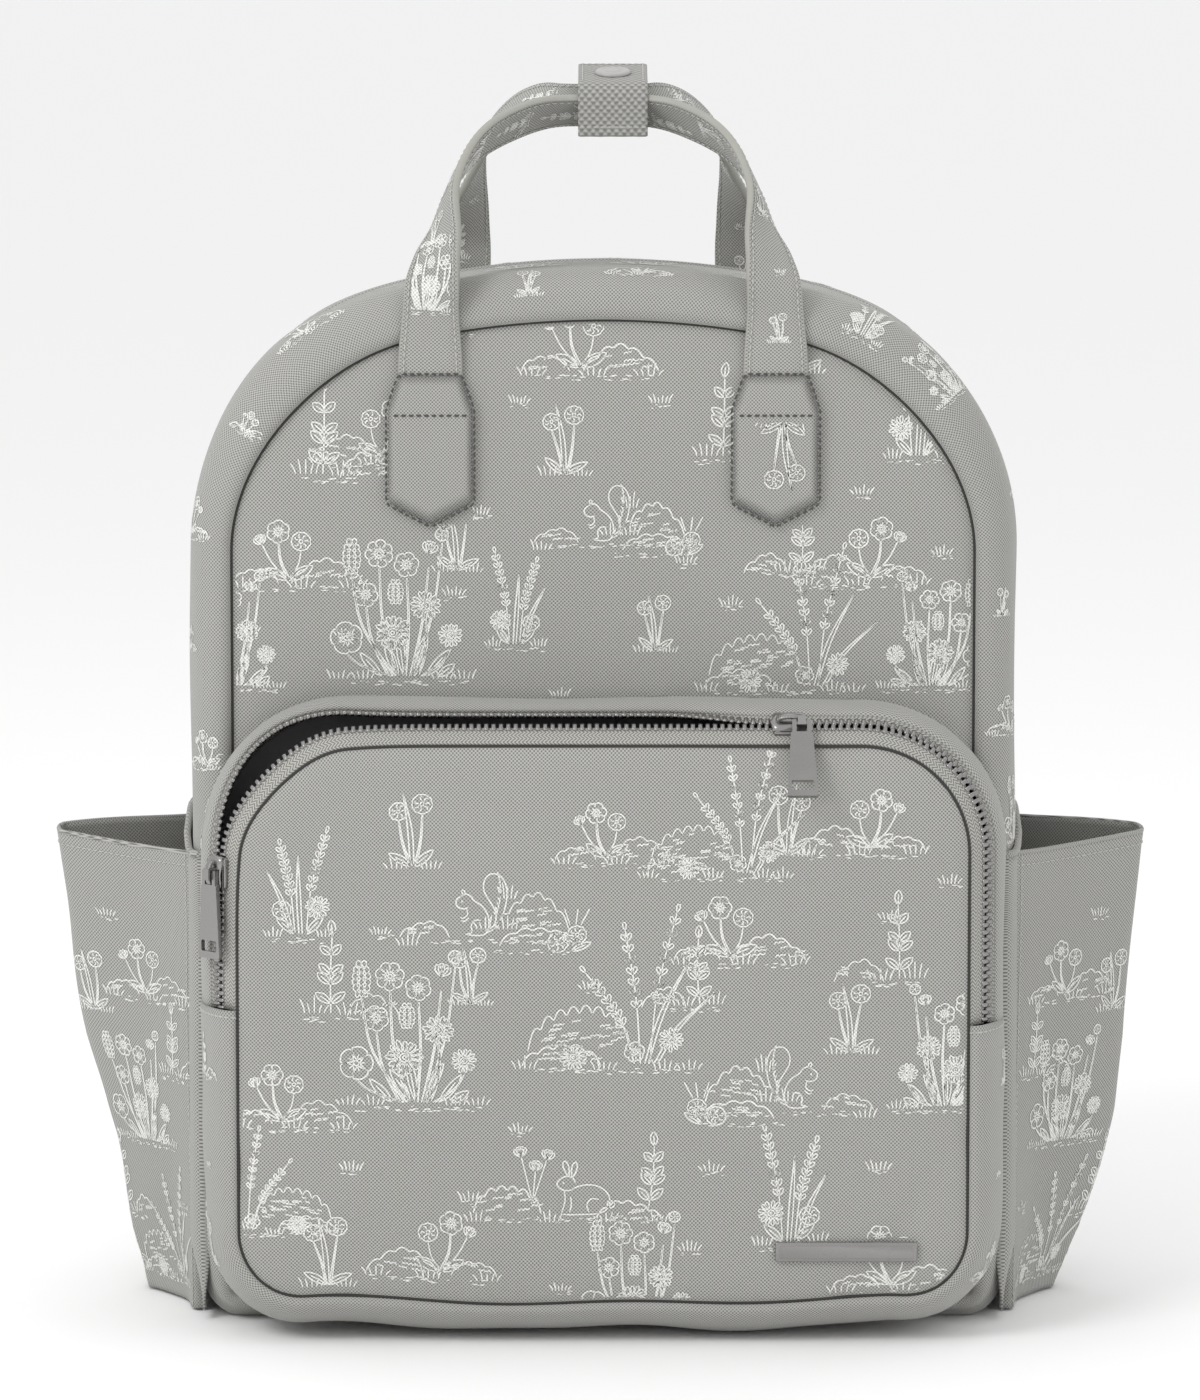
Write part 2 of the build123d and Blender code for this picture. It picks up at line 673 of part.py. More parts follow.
# the layer that opens: the front face and the top flap over the snap
wrap_section(
    [
        (-23.3, 474.8), (-21.5, 474.8), (-21.5, 500.0), (14.0, 500.0), (14.0, 501.8), (-23.3, 501.8),
    ],
    "wrap_top_flap",
)
SNAP_Y = -3.0
with BuildPart() as stud:
    with BuildSketch(Plane.XY.offset(497.6)):
        with Locations((WRAP_X, SNAP_Y)):
            Circle(2.2)
    extrude(amount=1.5, taper=20)
save(stud, "snap_stud")
with BuildPart() as socket:
    with BuildSketch(Plane.XY.offset(498.2)):
        with Locations((WRAP_X, SNAP_Y)):
            Circle(6.0)
            Circle(3.9, mode=Mode.SUBTRACT)
    extrude(amount=1.8)
save(socket, "snap_socket")
with BuildPart() as cap:
    with BuildSketch(Plane.XY.offset(501.8)):
        with Locations((WRAP_X, SNAP_Y)):
            Circle(7.2)
    extrude(amount=1.7)
    fillet(cap.faces().sort_by(Axis.Z)[-1].edges(), radius=1.2)
save(cap, "snap_cap")

# ------------------------------------------------------------- shoulder straps
for side, name in ((-1, "left"), (1, "right")):
    x0 = side * SHOULDER_X
    with BuildPart() as pad:
        with BuildSketch(Plane.YZ.offset(x0 - PAD_W / 2)):
            with BuildLine():
                inner = ThreePointArc((73.6, 348.5), (106.0, 240.0), (84.0, 126.0))
                outer = ThreePointArc((82.6, 348.5), (116.0, 240.0), (93.0, 126.0))
                Line(inner @ 0, outer @ 0)
                Line(inner @ 1, outer @ 1)
            make_face()
        extrude(amount=PAD_W)
        fillet(pad.edges().filter_by(GeomType.CIRCLE), radius=3.0)
    save(pad, f"strap_pad_{name}")

    with BuildPart() as lock:
        with BuildSketch(Plane.XZ.offset(-90.5)):
            with Locations((x0, 109)):
                RectangleRounded(33, 23, 3)
                with Locations((0, 6.2), (0, -4.8)):
                    RectangleRounded(26.4, 4.6, 1.2, mode=Mode.SUBTRACT)
        extrude(amount=3.6)
    save(lock, f"ladder_lock_{name}")

    with BuildPart() as loop:
        add_box((x0 - 12, 87.4, 121.0), (x0 + 12, 89.4, 125.6))
    save(loop, f"lock_loop_{name}")

    # the lower webbing is left slack, so the pad can swing off the back
    with BuildPart() as web:
        for point, edge, travel in (
            ((x0, 84.8, 103.0), (1, 0, 0), (0, -0.1, -1)),
            ((x0, 82.4, 76.0), (1, 0, 0.08 * side), (side * 0.08, -0.07, -1)),
            ((side * 68.0, 80.8, 51.0), (0.92, 0, 0.4 * side), (side * 0.4, -0.05, -0.92)),
            ((side * 83.0, 79.6, 33.0), (0.6, 0, 0.8 * side), (side * 0.8, -0.04, -0.6)),
            ((side * 105.0, 78.4, 25.0), (0.1, 0, 1.0 * side), (side * 1.0, -0.04, -0.1)),
            ((side * 128.0, 75.9, 29.0), (-0.15, 0, 1.0 * side), (side * 1.0, -0.1, 0.15)),
        ):
            e = Vector(*edge).normalized()
            t = Vector(*travel)
            t = (t - e * t.dot(e)).normalized()
            with BuildSketch(Plane(origin=point, x_dir=e, z_dir=t)):
                Rectangle(WEB_W, 1.6)
        loft(ruled=True)
    save(web, f"lower_webbing_{name}")

    with BuildPart() as tail:
        add_box((x0 - 12, 90.8, 48), (x0 + 12, 92.2, 112))
        with Locations((x0, 92.4, 50.0)):
            Box(24, 3.2, 4.0)
    save(tail, f"webbing_tail_{name}")

    with BuildPart() as tab:
        with BuildSketch(Plane.XZ.offset(-72.6)):
            with BuildLine():
                Polyline(
                    (side * 156, 14), (side * 156, 44), (side * 130, 50), (side * 108, 28), (side * 118, 14),
                    close=True,
                )
            make_face()
        extrude(amount=2.4)
    save(tab, f"strap_anchor_{name}")

# ------------------------------------------------------------- badge
with BuildPart() as badge:
    with BuildSketch(Plane.XZ.offset(-POCKET_FACE_Y[0] + 0.05)):
        with Locations((96, 38)):
            SlotOverall(56, 8)
    extrude(amount=1.6)
    chamfer(badge.faces().sort_by(Axis.Y)[0].edges(), length=0.5)
save(badge, "badge_plate")
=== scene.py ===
"""The backpack's looks: every soft piece, zip and print as its own mesh on the CAD frame."""

import json
import math

import bmesh
import bpy
import numpy as np
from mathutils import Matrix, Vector
from mathutils.kdtree import KDTree

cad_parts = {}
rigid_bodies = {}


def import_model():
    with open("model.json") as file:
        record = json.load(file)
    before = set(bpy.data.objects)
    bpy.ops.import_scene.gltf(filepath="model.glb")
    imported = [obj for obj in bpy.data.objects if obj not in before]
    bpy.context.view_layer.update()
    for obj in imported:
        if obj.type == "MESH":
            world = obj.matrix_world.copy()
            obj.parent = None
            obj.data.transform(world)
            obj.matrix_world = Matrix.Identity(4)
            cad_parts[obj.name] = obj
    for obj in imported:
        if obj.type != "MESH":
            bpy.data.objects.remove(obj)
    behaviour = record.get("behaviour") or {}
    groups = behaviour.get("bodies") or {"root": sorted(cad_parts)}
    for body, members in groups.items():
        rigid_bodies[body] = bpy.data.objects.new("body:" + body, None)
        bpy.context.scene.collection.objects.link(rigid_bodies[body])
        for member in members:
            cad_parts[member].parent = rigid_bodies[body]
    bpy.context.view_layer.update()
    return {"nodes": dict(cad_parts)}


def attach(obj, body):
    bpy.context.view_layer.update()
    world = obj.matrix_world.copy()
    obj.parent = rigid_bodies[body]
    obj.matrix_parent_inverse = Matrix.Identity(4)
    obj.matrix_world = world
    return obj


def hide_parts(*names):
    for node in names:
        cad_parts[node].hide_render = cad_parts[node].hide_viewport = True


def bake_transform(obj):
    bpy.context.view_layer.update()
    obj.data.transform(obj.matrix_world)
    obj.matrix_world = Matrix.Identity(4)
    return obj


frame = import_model()
for stray in ("Cube", "Light", "Camera"):
    if stray in bpy.data.objects and stray not in frame["nodes"]:
        bpy.data.objects.remove(bpy.data.objects[stray])
MM = 0.001
rng = np.random.default_rng(11)
scene = bpy.context.scene
nodes = frame["nodes"]


# ---------------------------------------------------------------- meshes
def mesh_obj(name, verts, faces, uv=None, mat=None, smooth=True):
    """verts in mm; uv per vertex in mm."""
    me = bpy.data.meshes.new(name)
    me.from_pydata((np.asarray(verts, float).reshape(-1, 3) * MM).tolist(), [], [list(map(int, f)) for f in faces])
    me.update()
    if uv is not None:
        layer = me.uv_layers.new(name="UVMap")
        idx = np.zeros(len(me.loops), np.int32)
        me.loops.foreach_get("vertex_index", idx)
        layer.data.foreach_set("uv", (np.asarray(uv, float).reshape(-1, 2)[idx] * MM).astype(np.float32).ravel())
    if smooth:
        me.polygons.foreach_set("use_smooth", [True] * len(me.polygons))
    ob = bpy.data.objects.new(name, me)
    scene.collection.objects.link(ob)
    if mat is not None:
        me.materials.append(mat)
    return ob


def grid_faces(nu, nv, close_u=False, base=0, flip=False):
    out = []
    for i in range(nu - (0 if close_u else 1)):
        a, b = i * nv, ((i + 1) % nu) * nv
        for j in range(nv - 1):
            f = (base + a + j, base + b + j, base + b + j + 1, base + a + j + 1)
            out.append(f[::-1] if flip else f)
    return out


def grid_obj(name, P, uv, mat, close_u=False, flip=False, smooth=True):
    nu, nv = P.shape[:2]
    return mesh_obj(name, P.reshape(-1, 3), grid_faces(nu, nv, close_u, flip=flip), uv.reshape(-1, 2), mat, smooth)


def grid_normals(P, close_u=False):
    du = np.gradient(P, axis=0)
    dv = np.gradient(P, axis=1)
    n = np.cross(du, dv)
    return n / (np.linalg.norm(n, axis=2, keepdims=True) + 1e-9)


class Build:
    """Collects many small shapes into one mesh."""

    def __init__(self):
        self.v, self.f, self.uv, self.n = [], [], [], 0

    def add(self, verts, faces, uv=None):
        verts = np.asarray(verts, float).reshape(-1, 3)
        self.v.append(verts)
        self.uv.append(np.zeros((len(verts), 2)) if uv is None else np.asarray(uv, float).reshape(-1, 2))
        self.f.extend([tuple(i + self.n for i in f) for f in faces])
        self.n += len(verts)

    def obj(self, name, mat, smooth=True):
        return mesh_obj(name, np.concatenate(self.v), self.f, np.concatenate(self.uv), mat, smooth)


def solidify(ob, thick, offset=-1.0):
    m = ob.modifiers.new("Solid", "SOLIDIFY")
    m.thickness = thick * MM
    m.offset = offset
    m.use_even_offset = False
    return ob


# ---------------------------------------------------------------- materials
def new_mat(name):
    m = bpy.data.materials.new(name)
    m.use_nodes = True
    nt = m.node_tree
    nt.nodes.clear()
    out = nt.nodes.new("ShaderNodeOutputMaterial")
    bs = nt.nodes.new("ShaderNodeBsdfPrincipled")
    nt.links.new(bs.outputs[0], out.inputs[0])
    return m, nt, bs


def math_node(nt, op, a, b=None):
    n = nt.nodes.new("ShaderNodeMath")
    n.operation = op
    for i, x in enumerate((a, b)):
        if x is None:
            continue
        if isinstance(x, (int, float)):
            n.inputs[i].default_value = x
        else:
            nt.links.new(x, n.inputs[i])
    return n.outputs[0]


def ramp(nt, fac, stops):
    r = nt.nodes.new("ShaderNodeValToRGB")
    el = r.color_ramp.elements
    while len(el) < len(stops):
        el.new(0.5)
    for e, (p, c) in zip(el, stops):
        e.position = p
        e.color = (*c, 1)
    nt.links.new(fac, r.inputs[0])
    return r.outputs[0]


def mix_rgb(nt, fac, a, b, mode="MIX"):
    n = nt.nodes.new("ShaderNodeMix")
    n.data_type = "RGBA"
    n.blend_type = mode
    for sock, x in ((n.inputs[0], fac), (n.inputs[6], a), (n.inputs[7], b)):
        if isinstance(x, (int, float)):
            sock.default_value = x
        elif isinstance(x, tuple):
            sock.default_value = (*x, 1)
        else:
            nt.links.new(x, sock)
    return n.outputs[2]


def noise(nt, vec, scale, detail=2.0, rough=0.5):
    n = nt.nodes.new("ShaderNodeTexNoise")
    n.inputs["Scale"].default_value = scale
    n.inputs["Detail"].default_value = detail
    n.inputs["Roughness"].default_value = rough
    nt.links.new(vec, n.inputs["Vector"])
    return n.outputs["Fac"]


def weave_mat(name, low, high, cell=0.74, bump=0.5, rough=0.86, print_break=False, basket=False, tone=0.05, sheen=0.15):
    """A woven cloth: threads over and under in a checker of bumps, uneven yarn, slow tone drift."""
    m, nt, bs = new_mat(name)
    uvn = nt.nodes.new("ShaderNodeUVMap")
    uvn.uv_map = "UVMap"
    geo = nt.nodes.new("ShaderNodeTexCoord")
    pos = geo.outputs["Object"]
    wob = nt.nodes.new("ShaderNodeTexNoise")
    wob.inputs["Scale"].default_value = 260
    wob.inputs["Detail"].default_value = 1.0
    nt.links.new(uvn.outputs[0], wob.inputs["Vector"])
    vm = nt.nodes.new("ShaderNodeVectorMath")
    vm.operation = "SUBTRACT"
    nt.links.new(wob.outputs["Color"], vm.inputs[0])
    vm.inputs[1].default_value = (0.5, 0.5, 0.5)
    vs = nt.nodes.new("ShaderNodeVectorMath")
    vs.operation = "SCALE"
    nt.links.new(vm.outputs[0], vs.inputs[0])
    vs.inputs["Scale"].default_value = cell * MM * 0.55
    va = nt.nodes.new("ShaderNodeVectorMath")
    va.operation = "ADD"
    nt.links.new(uvn.outputs[0], va.inputs[0])
    nt.links.new(vs.outputs[0], va.inputs[1])
    sep = nt.nodes.new("ShaderNodeSeparateXYZ")
    nt.links.new(va.outputs[0], sep.inputs[0])
    k = math.pi / (cell * MM)
    sx = math_node(nt, "SINE", math_node(nt, "MULTIPLY", sep.outputs[0], k))
    sy = math_node(nt, "SINE", math_node(nt, "MULTIPLY", sep.outputs[1], k))
    prod = math_node(nt, "MULTIPLY", sx, sy)
    height = math_node(nt, "ADD", math_node(nt, "MULTIPLY", prod, 0.5), 0.5)
    if basket:
        fine = math_node(nt, "SINE", math_node(nt, "MULTIPLY", sep.outputs[1], k * 2.0))
        height = math_node(nt, "ADD", math_node(nt, "MULTIPLY", height, 0.8), math_node(nt, "MULTIPLY", fine, 0.1))
    fuzz = noise(nt, pos, 2600, 2.0, 0.7)
    height = math_node(nt, "ADD", height, math_node(nt, "MULTIPLY", math_node(nt, "SUBTRACT", fuzz, 0.5), 0.35))
    slow = noise(nt, pos, 9.0, 3.0, 0.55)
    col = ramp(nt, height, [(0.16, low), (0.70, high)])
    shade = math_node(nt, "ADD", math_node(nt, "MULTIPLY", math_node(nt, "SUBTRACT", slow, 0.5), tone * 2), 1.0)
    mul = nt.nodes.new("ShaderNodeVectorMath")
    mul.operation = "SCALE"
    nt.links.new(col, mul.inputs[0])
    nt.links.new(shade, mul.inputs["Scale"])
    nt.links.new(mul.outputs[0], bs.inputs["Base Color"])
    b = nt.nodes.new("ShaderNodeBump")
    b.inputs["Strength"].default_value = bump
    b.inputs["Distance"].default_value = 0.00022
    nt.links.new(height, b.inputs["Height"])
    nt.links.new(b.outputs[0], bs.inputs["Normal"])
    bs.inputs["Roughness"].default_value = rough
    bs.inputs["Sheen Weight"].default_value = sheen
    bs.inputs["Sheen Roughness"].default_value = 0.5
    bs.inputs["Specular IOR Level"].default_value = 0.25
    return m


def plain_mat(name, col, rough=0.6, metal=0.0, bump=0.15, scale=900.0, coat=0.0, vary=0.06, spec=0.5):
    m, nt, bs = new_mat(name)
    geo = nt.nodes.new("ShaderNodeTexCoord")
    pos = geo.outputs["Object"]
    n1 = noise(nt, pos, scale, 3.0, 0.6)
    n2 = noise(nt, pos, scale * 0.04, 2.0, 0.5)
    lo = tuple(c * (1 - vary) for c in col)
    hi = tuple(min(c * (1 + vary), 1) for c in col)
    both = math_node(nt, "ADD", math_node(nt, "MULTIPLY", n1, 0.5), math_node(nt, "MULTIPLY", n2, 0.5))
    nt.links.new(ramp(nt, both, [(0.3, lo), (0.7, hi)]), bs.inputs["Base Color"])
    rr = math_node(nt, "ADD", math_node(nt, "MULTIPLY", math_node(nt, "SUBTRACT", n2, 0.5), 0.25), rough)
    nt.links.new(rr, bs.inputs["Roughness"])
    b = nt.nodes.new("ShaderNodeBump")
    b.inputs["Strength"].default_value = bump
    b.inputs["Distance"].default_value = 0.0001
    nt.links.new(n1, b.inputs["Height"])
    nt.links.new(b.outputs[0], bs.inputs["Normal"])
    bs.inputs["Metallic"].default_value = metal
    bs.inputs["Coat Weight"].default_value = coat
    bs.inputs["Specular IOR Level"].default_value = spec
    return m


def herringbone_mat(name, low, high):
    """Zip tape: V-shaped twill along its length (u)."""
    m, nt, bs = new_mat(name)
    uvn = nt.nodes.new("ShaderNodeUVMap")
    uvn.uv_map = "UVMap"
    sep = nt.nodes.new("ShaderNodeSeparateXYZ")
    nt.links.new(uvn.outputs[0], sep.inputs[0])
    zig = math_node(nt, "PINGPONG", sep.outputs[1], 1.7 * MM)
    s = math_node(nt, "ADD", sep.outputs[0], zig)
    w = math_node(nt, "SINE", math_node(nt, "MULTIPLY", s, 2 * math.pi / (1.5 * MM)))
    rib = math_node(nt, "SINE", math_node(nt, "MULTIPLY", sep.outputs[1], math.pi / (0.55 * MM)))
    h = math_node(nt, "ADD", math_node(nt, "MULTIPLY", w, 0.36), math_node(nt, "MULTIPLY", rib, 0.10))
    h = math_node(nt, "ADD", h, 0.5)
    nt.links.new(ramp(nt, h, [(0.2, low), (0.75, high)]), bs.inputs["Base Color"])
    b = nt.nodes.new("ShaderNodeBump")
    b.inputs["Strength"].default_value = 0.6
    b.inputs["Distance"].default_value = 0.0002
    nt.links.new(h, b.inputs["Height"])
    nt.links.new(b.outputs[0], bs.inputs["Normal"])
    bs.inputs["Roughness"].default_value = 0.75
    bs.inputs["Sheen Weight"].default_value = 0.1
    return m


CLOTH_LO, CLOTH_HI = (0.145, 0.145, 0.136), (0.44, 0.437, 0.416)
canvas = weave_mat("canvas", CLOTH_LO, CLOTH_HI)
strap_canvas = weave_mat("strap_canvas", CLOTH_LO, CLOTH_HI, cell=0.7)
webbing_mat = weave_mat("webbing", (0.18, 0.18, 0.17), (0.40, 0.395, 0.38), cell=1.55, bump=0.9, basket=True)
lining_mat = weave_mat("lining", (0.075, 0.075, 0.077), (0.15, 0.15, 0.152), cell=0.4, bump=0.2)
mesh_cloth = weave_mat("spacer_mesh", (0.16, 0.16, 0.155), (0.36, 0.36, 0.345), cell=1.3, bump=0.9)
print_mat = weave_mat("white_print", (0.50, 0.50, 0.475), (0.84, 0.84, 0.81), bump=0.4, sheen=0.0)
tape_mat = herringbone_mat("zip_tape", (0.15, 0.15, 0.138), (0.45, 0.445, 0.415))
edge_paint = plain_mat("edge_paint", (0.33, 0.33, 0.30), 0.5, bump=0.25, scale=500)
thread_mat = plain_mat("thread", (0.46, 0.46, 0.43), 0.7, bump=0.5, scale=3000)
thread_dark = plain_mat("thread_dark", (0.075, 0.075, 0.07), 0.85, bump=0.5, scale=3000)
# near-black colour for thin tubes laid along seams: painted shadow standing in for the shade in their creases
seam_shadow_paint = plain_mat("seam_shadow", (0.035, 0.035, 0.032), 0.9, bump=0.1)
# nickel and the darker nickel_dark get colours well below bare nickel: painted shade standing in for the dark
# surroundings the metal would reflect
nickel = plain_mat("nickel", (0.30, 0.293, 0.288), 0.26, metal=1.0, bump=0.06, scale=1600, vary=0.05)
nickel_dark = plain_mat("nickel_dark", (0.17, 0.166, 0.162), 0.36, metal=1.0, bump=0.08, scale=1600)
snap_mat = plain_mat("snap_grey", (0.36, 0.355, 0.345), 0.42, bump=0.05, coat=0.3)
buckle_mat = plain_mat("buckle_black", (0.03, 0.03, 0.031), 0.42, bump=0.15, scale=1500)
board_mat = plain_mat("board_black", (0.05, 0.05, 0.05), 0.6)
foam_mat = plain_mat("foam_white", (0.6, 0.6, 0.58), 0.9, scale=2500, bump=0.6)


# ---------------------------------------------------------------- paths in the front view
class Path:
    """An open or closed path in (x, z), with outward normals and arc length."""

    def __init__(self, pts, closed):
        self.p = np.asarray(pts, float)
        self.closed = closed
        q = self.p
        if closed:
            t = np.roll(q, -1, 0) - np.roll(q, 1, 0)
        else:
            t = np.gradient(q, axis=0)
        t /= np.linalg.norm(t, axis=1, keepdims=True) + 1e-9
        self.t = t
        self.n = np.stack([-t[:, 1], t[:, 0]], 1)
        d = np.linalg.norm(np.diff(q, axis=0), axis=1)
        self.s = np.concatenate([[0], np.cumsum(d)])
        self.length = self.s[-1] + (np.linalg.norm(q[0] - q[-1]) if closed else 0)

    def off(self, o):
        return self.p + self.n * np.asarray(o, float).reshape(-1, 1)


def rounded(points, radii, closed, step=4.0, arc_step=2.5):
    """Samples a filleted polyline. For an open one the ends have radius 0."""
    pts = [np.array(p, float) for p in points]
    n = len(pts)
    out = []
    segs = []
    for i in range(n):
        if not closed and i in (0, n - 1):
            segs.append((pts[i], pts[i], None))
            continue
        a, b, c = pts[i - 1], pts[i], pts[(i + 1) % n]
        r = radii[i]
        if r == 0:
            segs.append((b, b, None))
            continue
        u, v = a - b, c - b
        u /= np.linalg.norm(u)
        v /= np.linalg.norm(v)
        half = math.acos(np.clip(np.dot(u, v), -1, 1)) / 2
        cut = r / math.tan(half)
        t0, t1 = b + u * cut, b + v * cut
        cen = b + (u + v) / np.linalg.norm(u + v) * (r / math.sin(half))
        segs.append((t0, t1, (cen, r)))
    for i, (t0, t1, arc) in enumerate(segs):
        if arc is not None:
            cen, r = arc
            a0 = math.atan2(*(t0 - cen)[::-1])
            a1 = math.atan2(*(t1 - cen)[::-1])
            d = (a1 - a0 + math.pi) % (2 * math.pi) - math.pi
            k = max(4, int(abs(d) * r / arc_step))
            for q in np.linspace(0, 1, k):
                out.append(cen + r * np.array([math.cos(a0 + d * q), math.sin(a0 + d * q)]))
        else:
            out.append(t0)
        nxt = segs[(i + 1) % n][0] if (closed or i < n - 1) else None
        if nxt is not None:
            L = np.linalg.norm(nxt - t1)
            k = max(2, int(L / step) + 1)
            for q in np.linspace(0, 1, k)[1:-1]:
                out.append(t1 + (nxt - t1) * q)
    res = [out[0]]
    for p in out[1:]:
        if np.linalg.norm(p - res[-1]) > 0.05:
            res.append(p)
    return np.array(res)


def smoothstep(a, b, x):
    t = np.clip((np.asarray(x, float) - a) / (b - a), 0, 1)
    return t * t * (3 - 2 * t)


def wave(x, z, amp=1.0, seed=0):
    """Slow soft undulation of padded cloth."""
    a = 0.37 * seed
    return amp * (
        0.5 * np.sin(x / 31.0 + a) * np.sin(z / 37.0 + 2 * a)
        + 0.3 * np.sin(x / 17.0 - z / 23.0 + 3 * a)
        + 0.2 * np.sin(x / 47.0 + z / 19.0 - a)
    )


# body outline, left foot up over the arch and down the right, then back under
BODY = [(-160, 0), (-160, 398.7), (0, 428.7), (160, 398.7), (160, 0)]
body_path = Path(rounded(BODY, [14, 105, 380, 105, 14], True), True)
# roll so that it starts at the bottom centre
k0 = int(np.argmin(np.abs(body_path.p[:, 0]) + body_path.p[:, 1] * 10))
body_path = Path(np.roll(body_path.p, -k0, 0), True)


def seam_inset(z):
    return 12.0 + 6.5 * smoothstep(310, 405, z)


front_seam = Path(body_path.off(-seam_inset(body_path.p[:, 1])), True)
back_seam = Path(body_path.off(-10.0), True)


TREES = {}


def distance_to(path_pts, x, z):
    """Distance from points to a closed path, by a tree of its finely sampled points."""
    x, z = np.asarray(x, float), np.asarray(z, float)
    key = (len(path_pts), float(path_pts[0, 0]), float(path_pts[-1, 1]), float(path_pts.sum()))
    if key not in TREES:
        fine = resample(path_pts, 0.5, closed=True)
        tree = KDTree(len(fine))
        for i, q in enumerate(fine):
            tree.insert((q[0], q[1], 0), i)
        tree.balance()
        TREES[key] = tree
    tree = TREES[key]
    out = np.array([tree.find((a, b, 0))[2] for a, b in zip(x.ravel(), z.ravel())])
    return out.reshape(x.shape)


def inside(path_pts, x, z):
    x, z = np.asarray(x, float).ravel(), np.asarray(z, float).ravel()
    res = np.zeros(len(x), bool)
    a = path_pts
    b = np.roll(path_pts, -1, 0)
    for (x0, z0), (x1, z1) in zip(a, b):
        if z0 == z1:
            continue
        hit = (z0 > z) != (z1 > z)
        xs = (x1 - x0) * (z - z0) / (z1 - z0) + x0
        res ^= hit & (x < xs)
    return res


RINGS = [0, 0.5, 1.1, 2.0, 3.2, 4.8, 7.0, 10.0, 14.0, 19.0, 25.0]


def dome(name, path, height, mat, rings=RINGS, flip=False, y0=0.0, fill=40):
    """A filled panel inside a closed path, at y = height(x, z)."""
    base = np.roll(path.p, -1, 0) - path.p
    loops = []
    for d in rings:
        q = path.off(-d)
        e = np.roll(q, -1, 0) - q
        # rings stop before a corner tighter than the offset folds over itself
        if len(loops) > 1 and ((e * base).sum(1) < 0.12 * (base * base).sum(1)).any():
            break
        loops.append(q)
    last = loops[-1]
    c = np.array([last[:, 0].mean(), (last[:, 1].max() + last[:, 1].min()) / 2])
    for s in (1 - np.linspace(0, 1, fill) ** 1.2)[1:-1]:
        loops.append(c + (last - c) * s)
    P2 = np.stack(loops, 0)
    n = P2.shape[1]
    y = height(P2[..., 0], P2[..., 1])
    V = np.stack([P2[..., 0], y, P2[..., 1]], -1).reshape(-1, 3)
    cy = height(np.array([c[0]]), np.array([c[1]]))[0]
    V = np.vstack([V, [c[0], cy, c[1]]])
    F = []
    for i in range(len(loops) - 1):
        for j in range(n):
            f = (i * n + j, i * n + (j + 1) % n, (i + 1) * n + (j + 1) % n, (i + 1) * n + j)
            F.append(f[::-1] if flip else f)
    b = (len(loops) - 1) * n
    for j in range(n):
        f = (b + j, b + (j + 1) % n, len(V) - 1)
        F.append(f[::-1] if flip else f)
    uv = V[:, [0, 2]]
    return mesh_obj(name, V, F, uv, mat)


def tube(name, pts, r, mat, closed=False, sides=8):
    """A thin round tube along 3-D points in mm."""
    pts = np.asarray(pts, float)
    if closed:
        t = np.roll(pts, -1, 0) - np.roll(pts, 1, 0)
    else:
        t = np.gradient(pts, axis=0)
    t /= np.linalg.norm(t, axis=1, keepdims=True) + 1e-9
    ref = np.array([0.0, 1.0, 0.0])
    a = np.cross(t, ref)
    bad = np.linalg.norm(a, axis=1) < 0.1
    a[bad] = np.cross(t[bad], [1.0, 0, 0])
    a /= np.linalg.norm(a, axis=1, keepdims=True)
    b = np.cross(t, a)
    ang = np.linspace(0, 2 * math.pi, sides, endpoint=False)
    r = np.asarray(r, float).reshape(-1, 1, 1) if np.ndim(r) else r
    ring = pts[:, None, :] + r * (np.cos(ang)[None, :, None] * a[:, None, :] + np.sin(ang)[None, :, None] * b[:, None, :])
    F = []
    n = len(pts)
    for i in range(n if closed else n - 1):
        for j in range(sides):
            F.append((i * sides + j, ((i + 1) % n) * sides + j, ((i + 1) % n) * sides + (j + 1) % sides, i * sides + (j + 1) % sides))
    if not closed:
        F.append(tuple(range(sides)))
        F.append(tuple((n - 1) * sides + j for j in reversed(range(sides))))
    V = ring.reshape(-1, 3)
    uv = np.stack([V[:, 0] + V[:, 1], V[:, 2]], 1)
    return mesh_obj(name, V, F, uv, mat)


def resample(pts, step, closed=False):
    pts = np.asarray(pts, float)
    if closed:
        pts = np.vstack([pts, pts[:1]])
    d = np.linalg.norm(np.diff(pts, axis=0), axis=1)
    s = np.concatenate([[0], np.cumsum(d)])
    n = max(2, int(round(s[-1] / step)) + 1)
    q = np.linspace(0, s[-1], n)
    if closed:
        q = q[:-1]
    return np.stack([np.interp(q, s, pts[:, i]) for i in range(pts.shape[1])], 1)


def stitches(build, pts, normals, step=3.2, length=2.3, r=0.34, lift=0.12, tilt=0.0):
    """Thread stitches along a 3-D line on a surface."""
    pts = np.asarray(pts, float)
    both = np.hstack([pts, np.asarray(normals, float)])
    both = resample_keep(both, step)
    c, nr = both[:, :3], both[:, 3:]
    nr = nr / (np.linalg.norm(nr, axis=1, keepdims=True) + 1e-9)
    t = np.gradient(c, axis=0)
    t /= np.linalg.norm(t, axis=1, keepdims=True) + 1e-9
    for i in range(len(c)):
        side = np.cross(nr[i], t[i])
        side /= np.linalg.norm(side) + 1e-9
        along = t[i] * math.cos(tilt) + side * math.sin(tilt)
        side = np.cross(nr[i], along)
        V = []
        for a, k in ((-0.5, 0.25), (-0.3, 0.95), (0.3, 0.95), (0.5, 0.25)):
            for q in range(5):
                ang = q / 4 * math.pi
                V.append(c[i] + along * a * length + side * math.cos(ang) * r * k + nr[i] * (math.sin(ang) * r * k + lift - 0.12 * (abs(a) > 0.4)))
        F = []
        for a in range(3):
            for q in range(4):
                F.append((a * 5 + q, a * 5 + q + 1, (a + 1) * 5 + q + 1, (a + 1) * 5 + q))
        build.add(V, F)


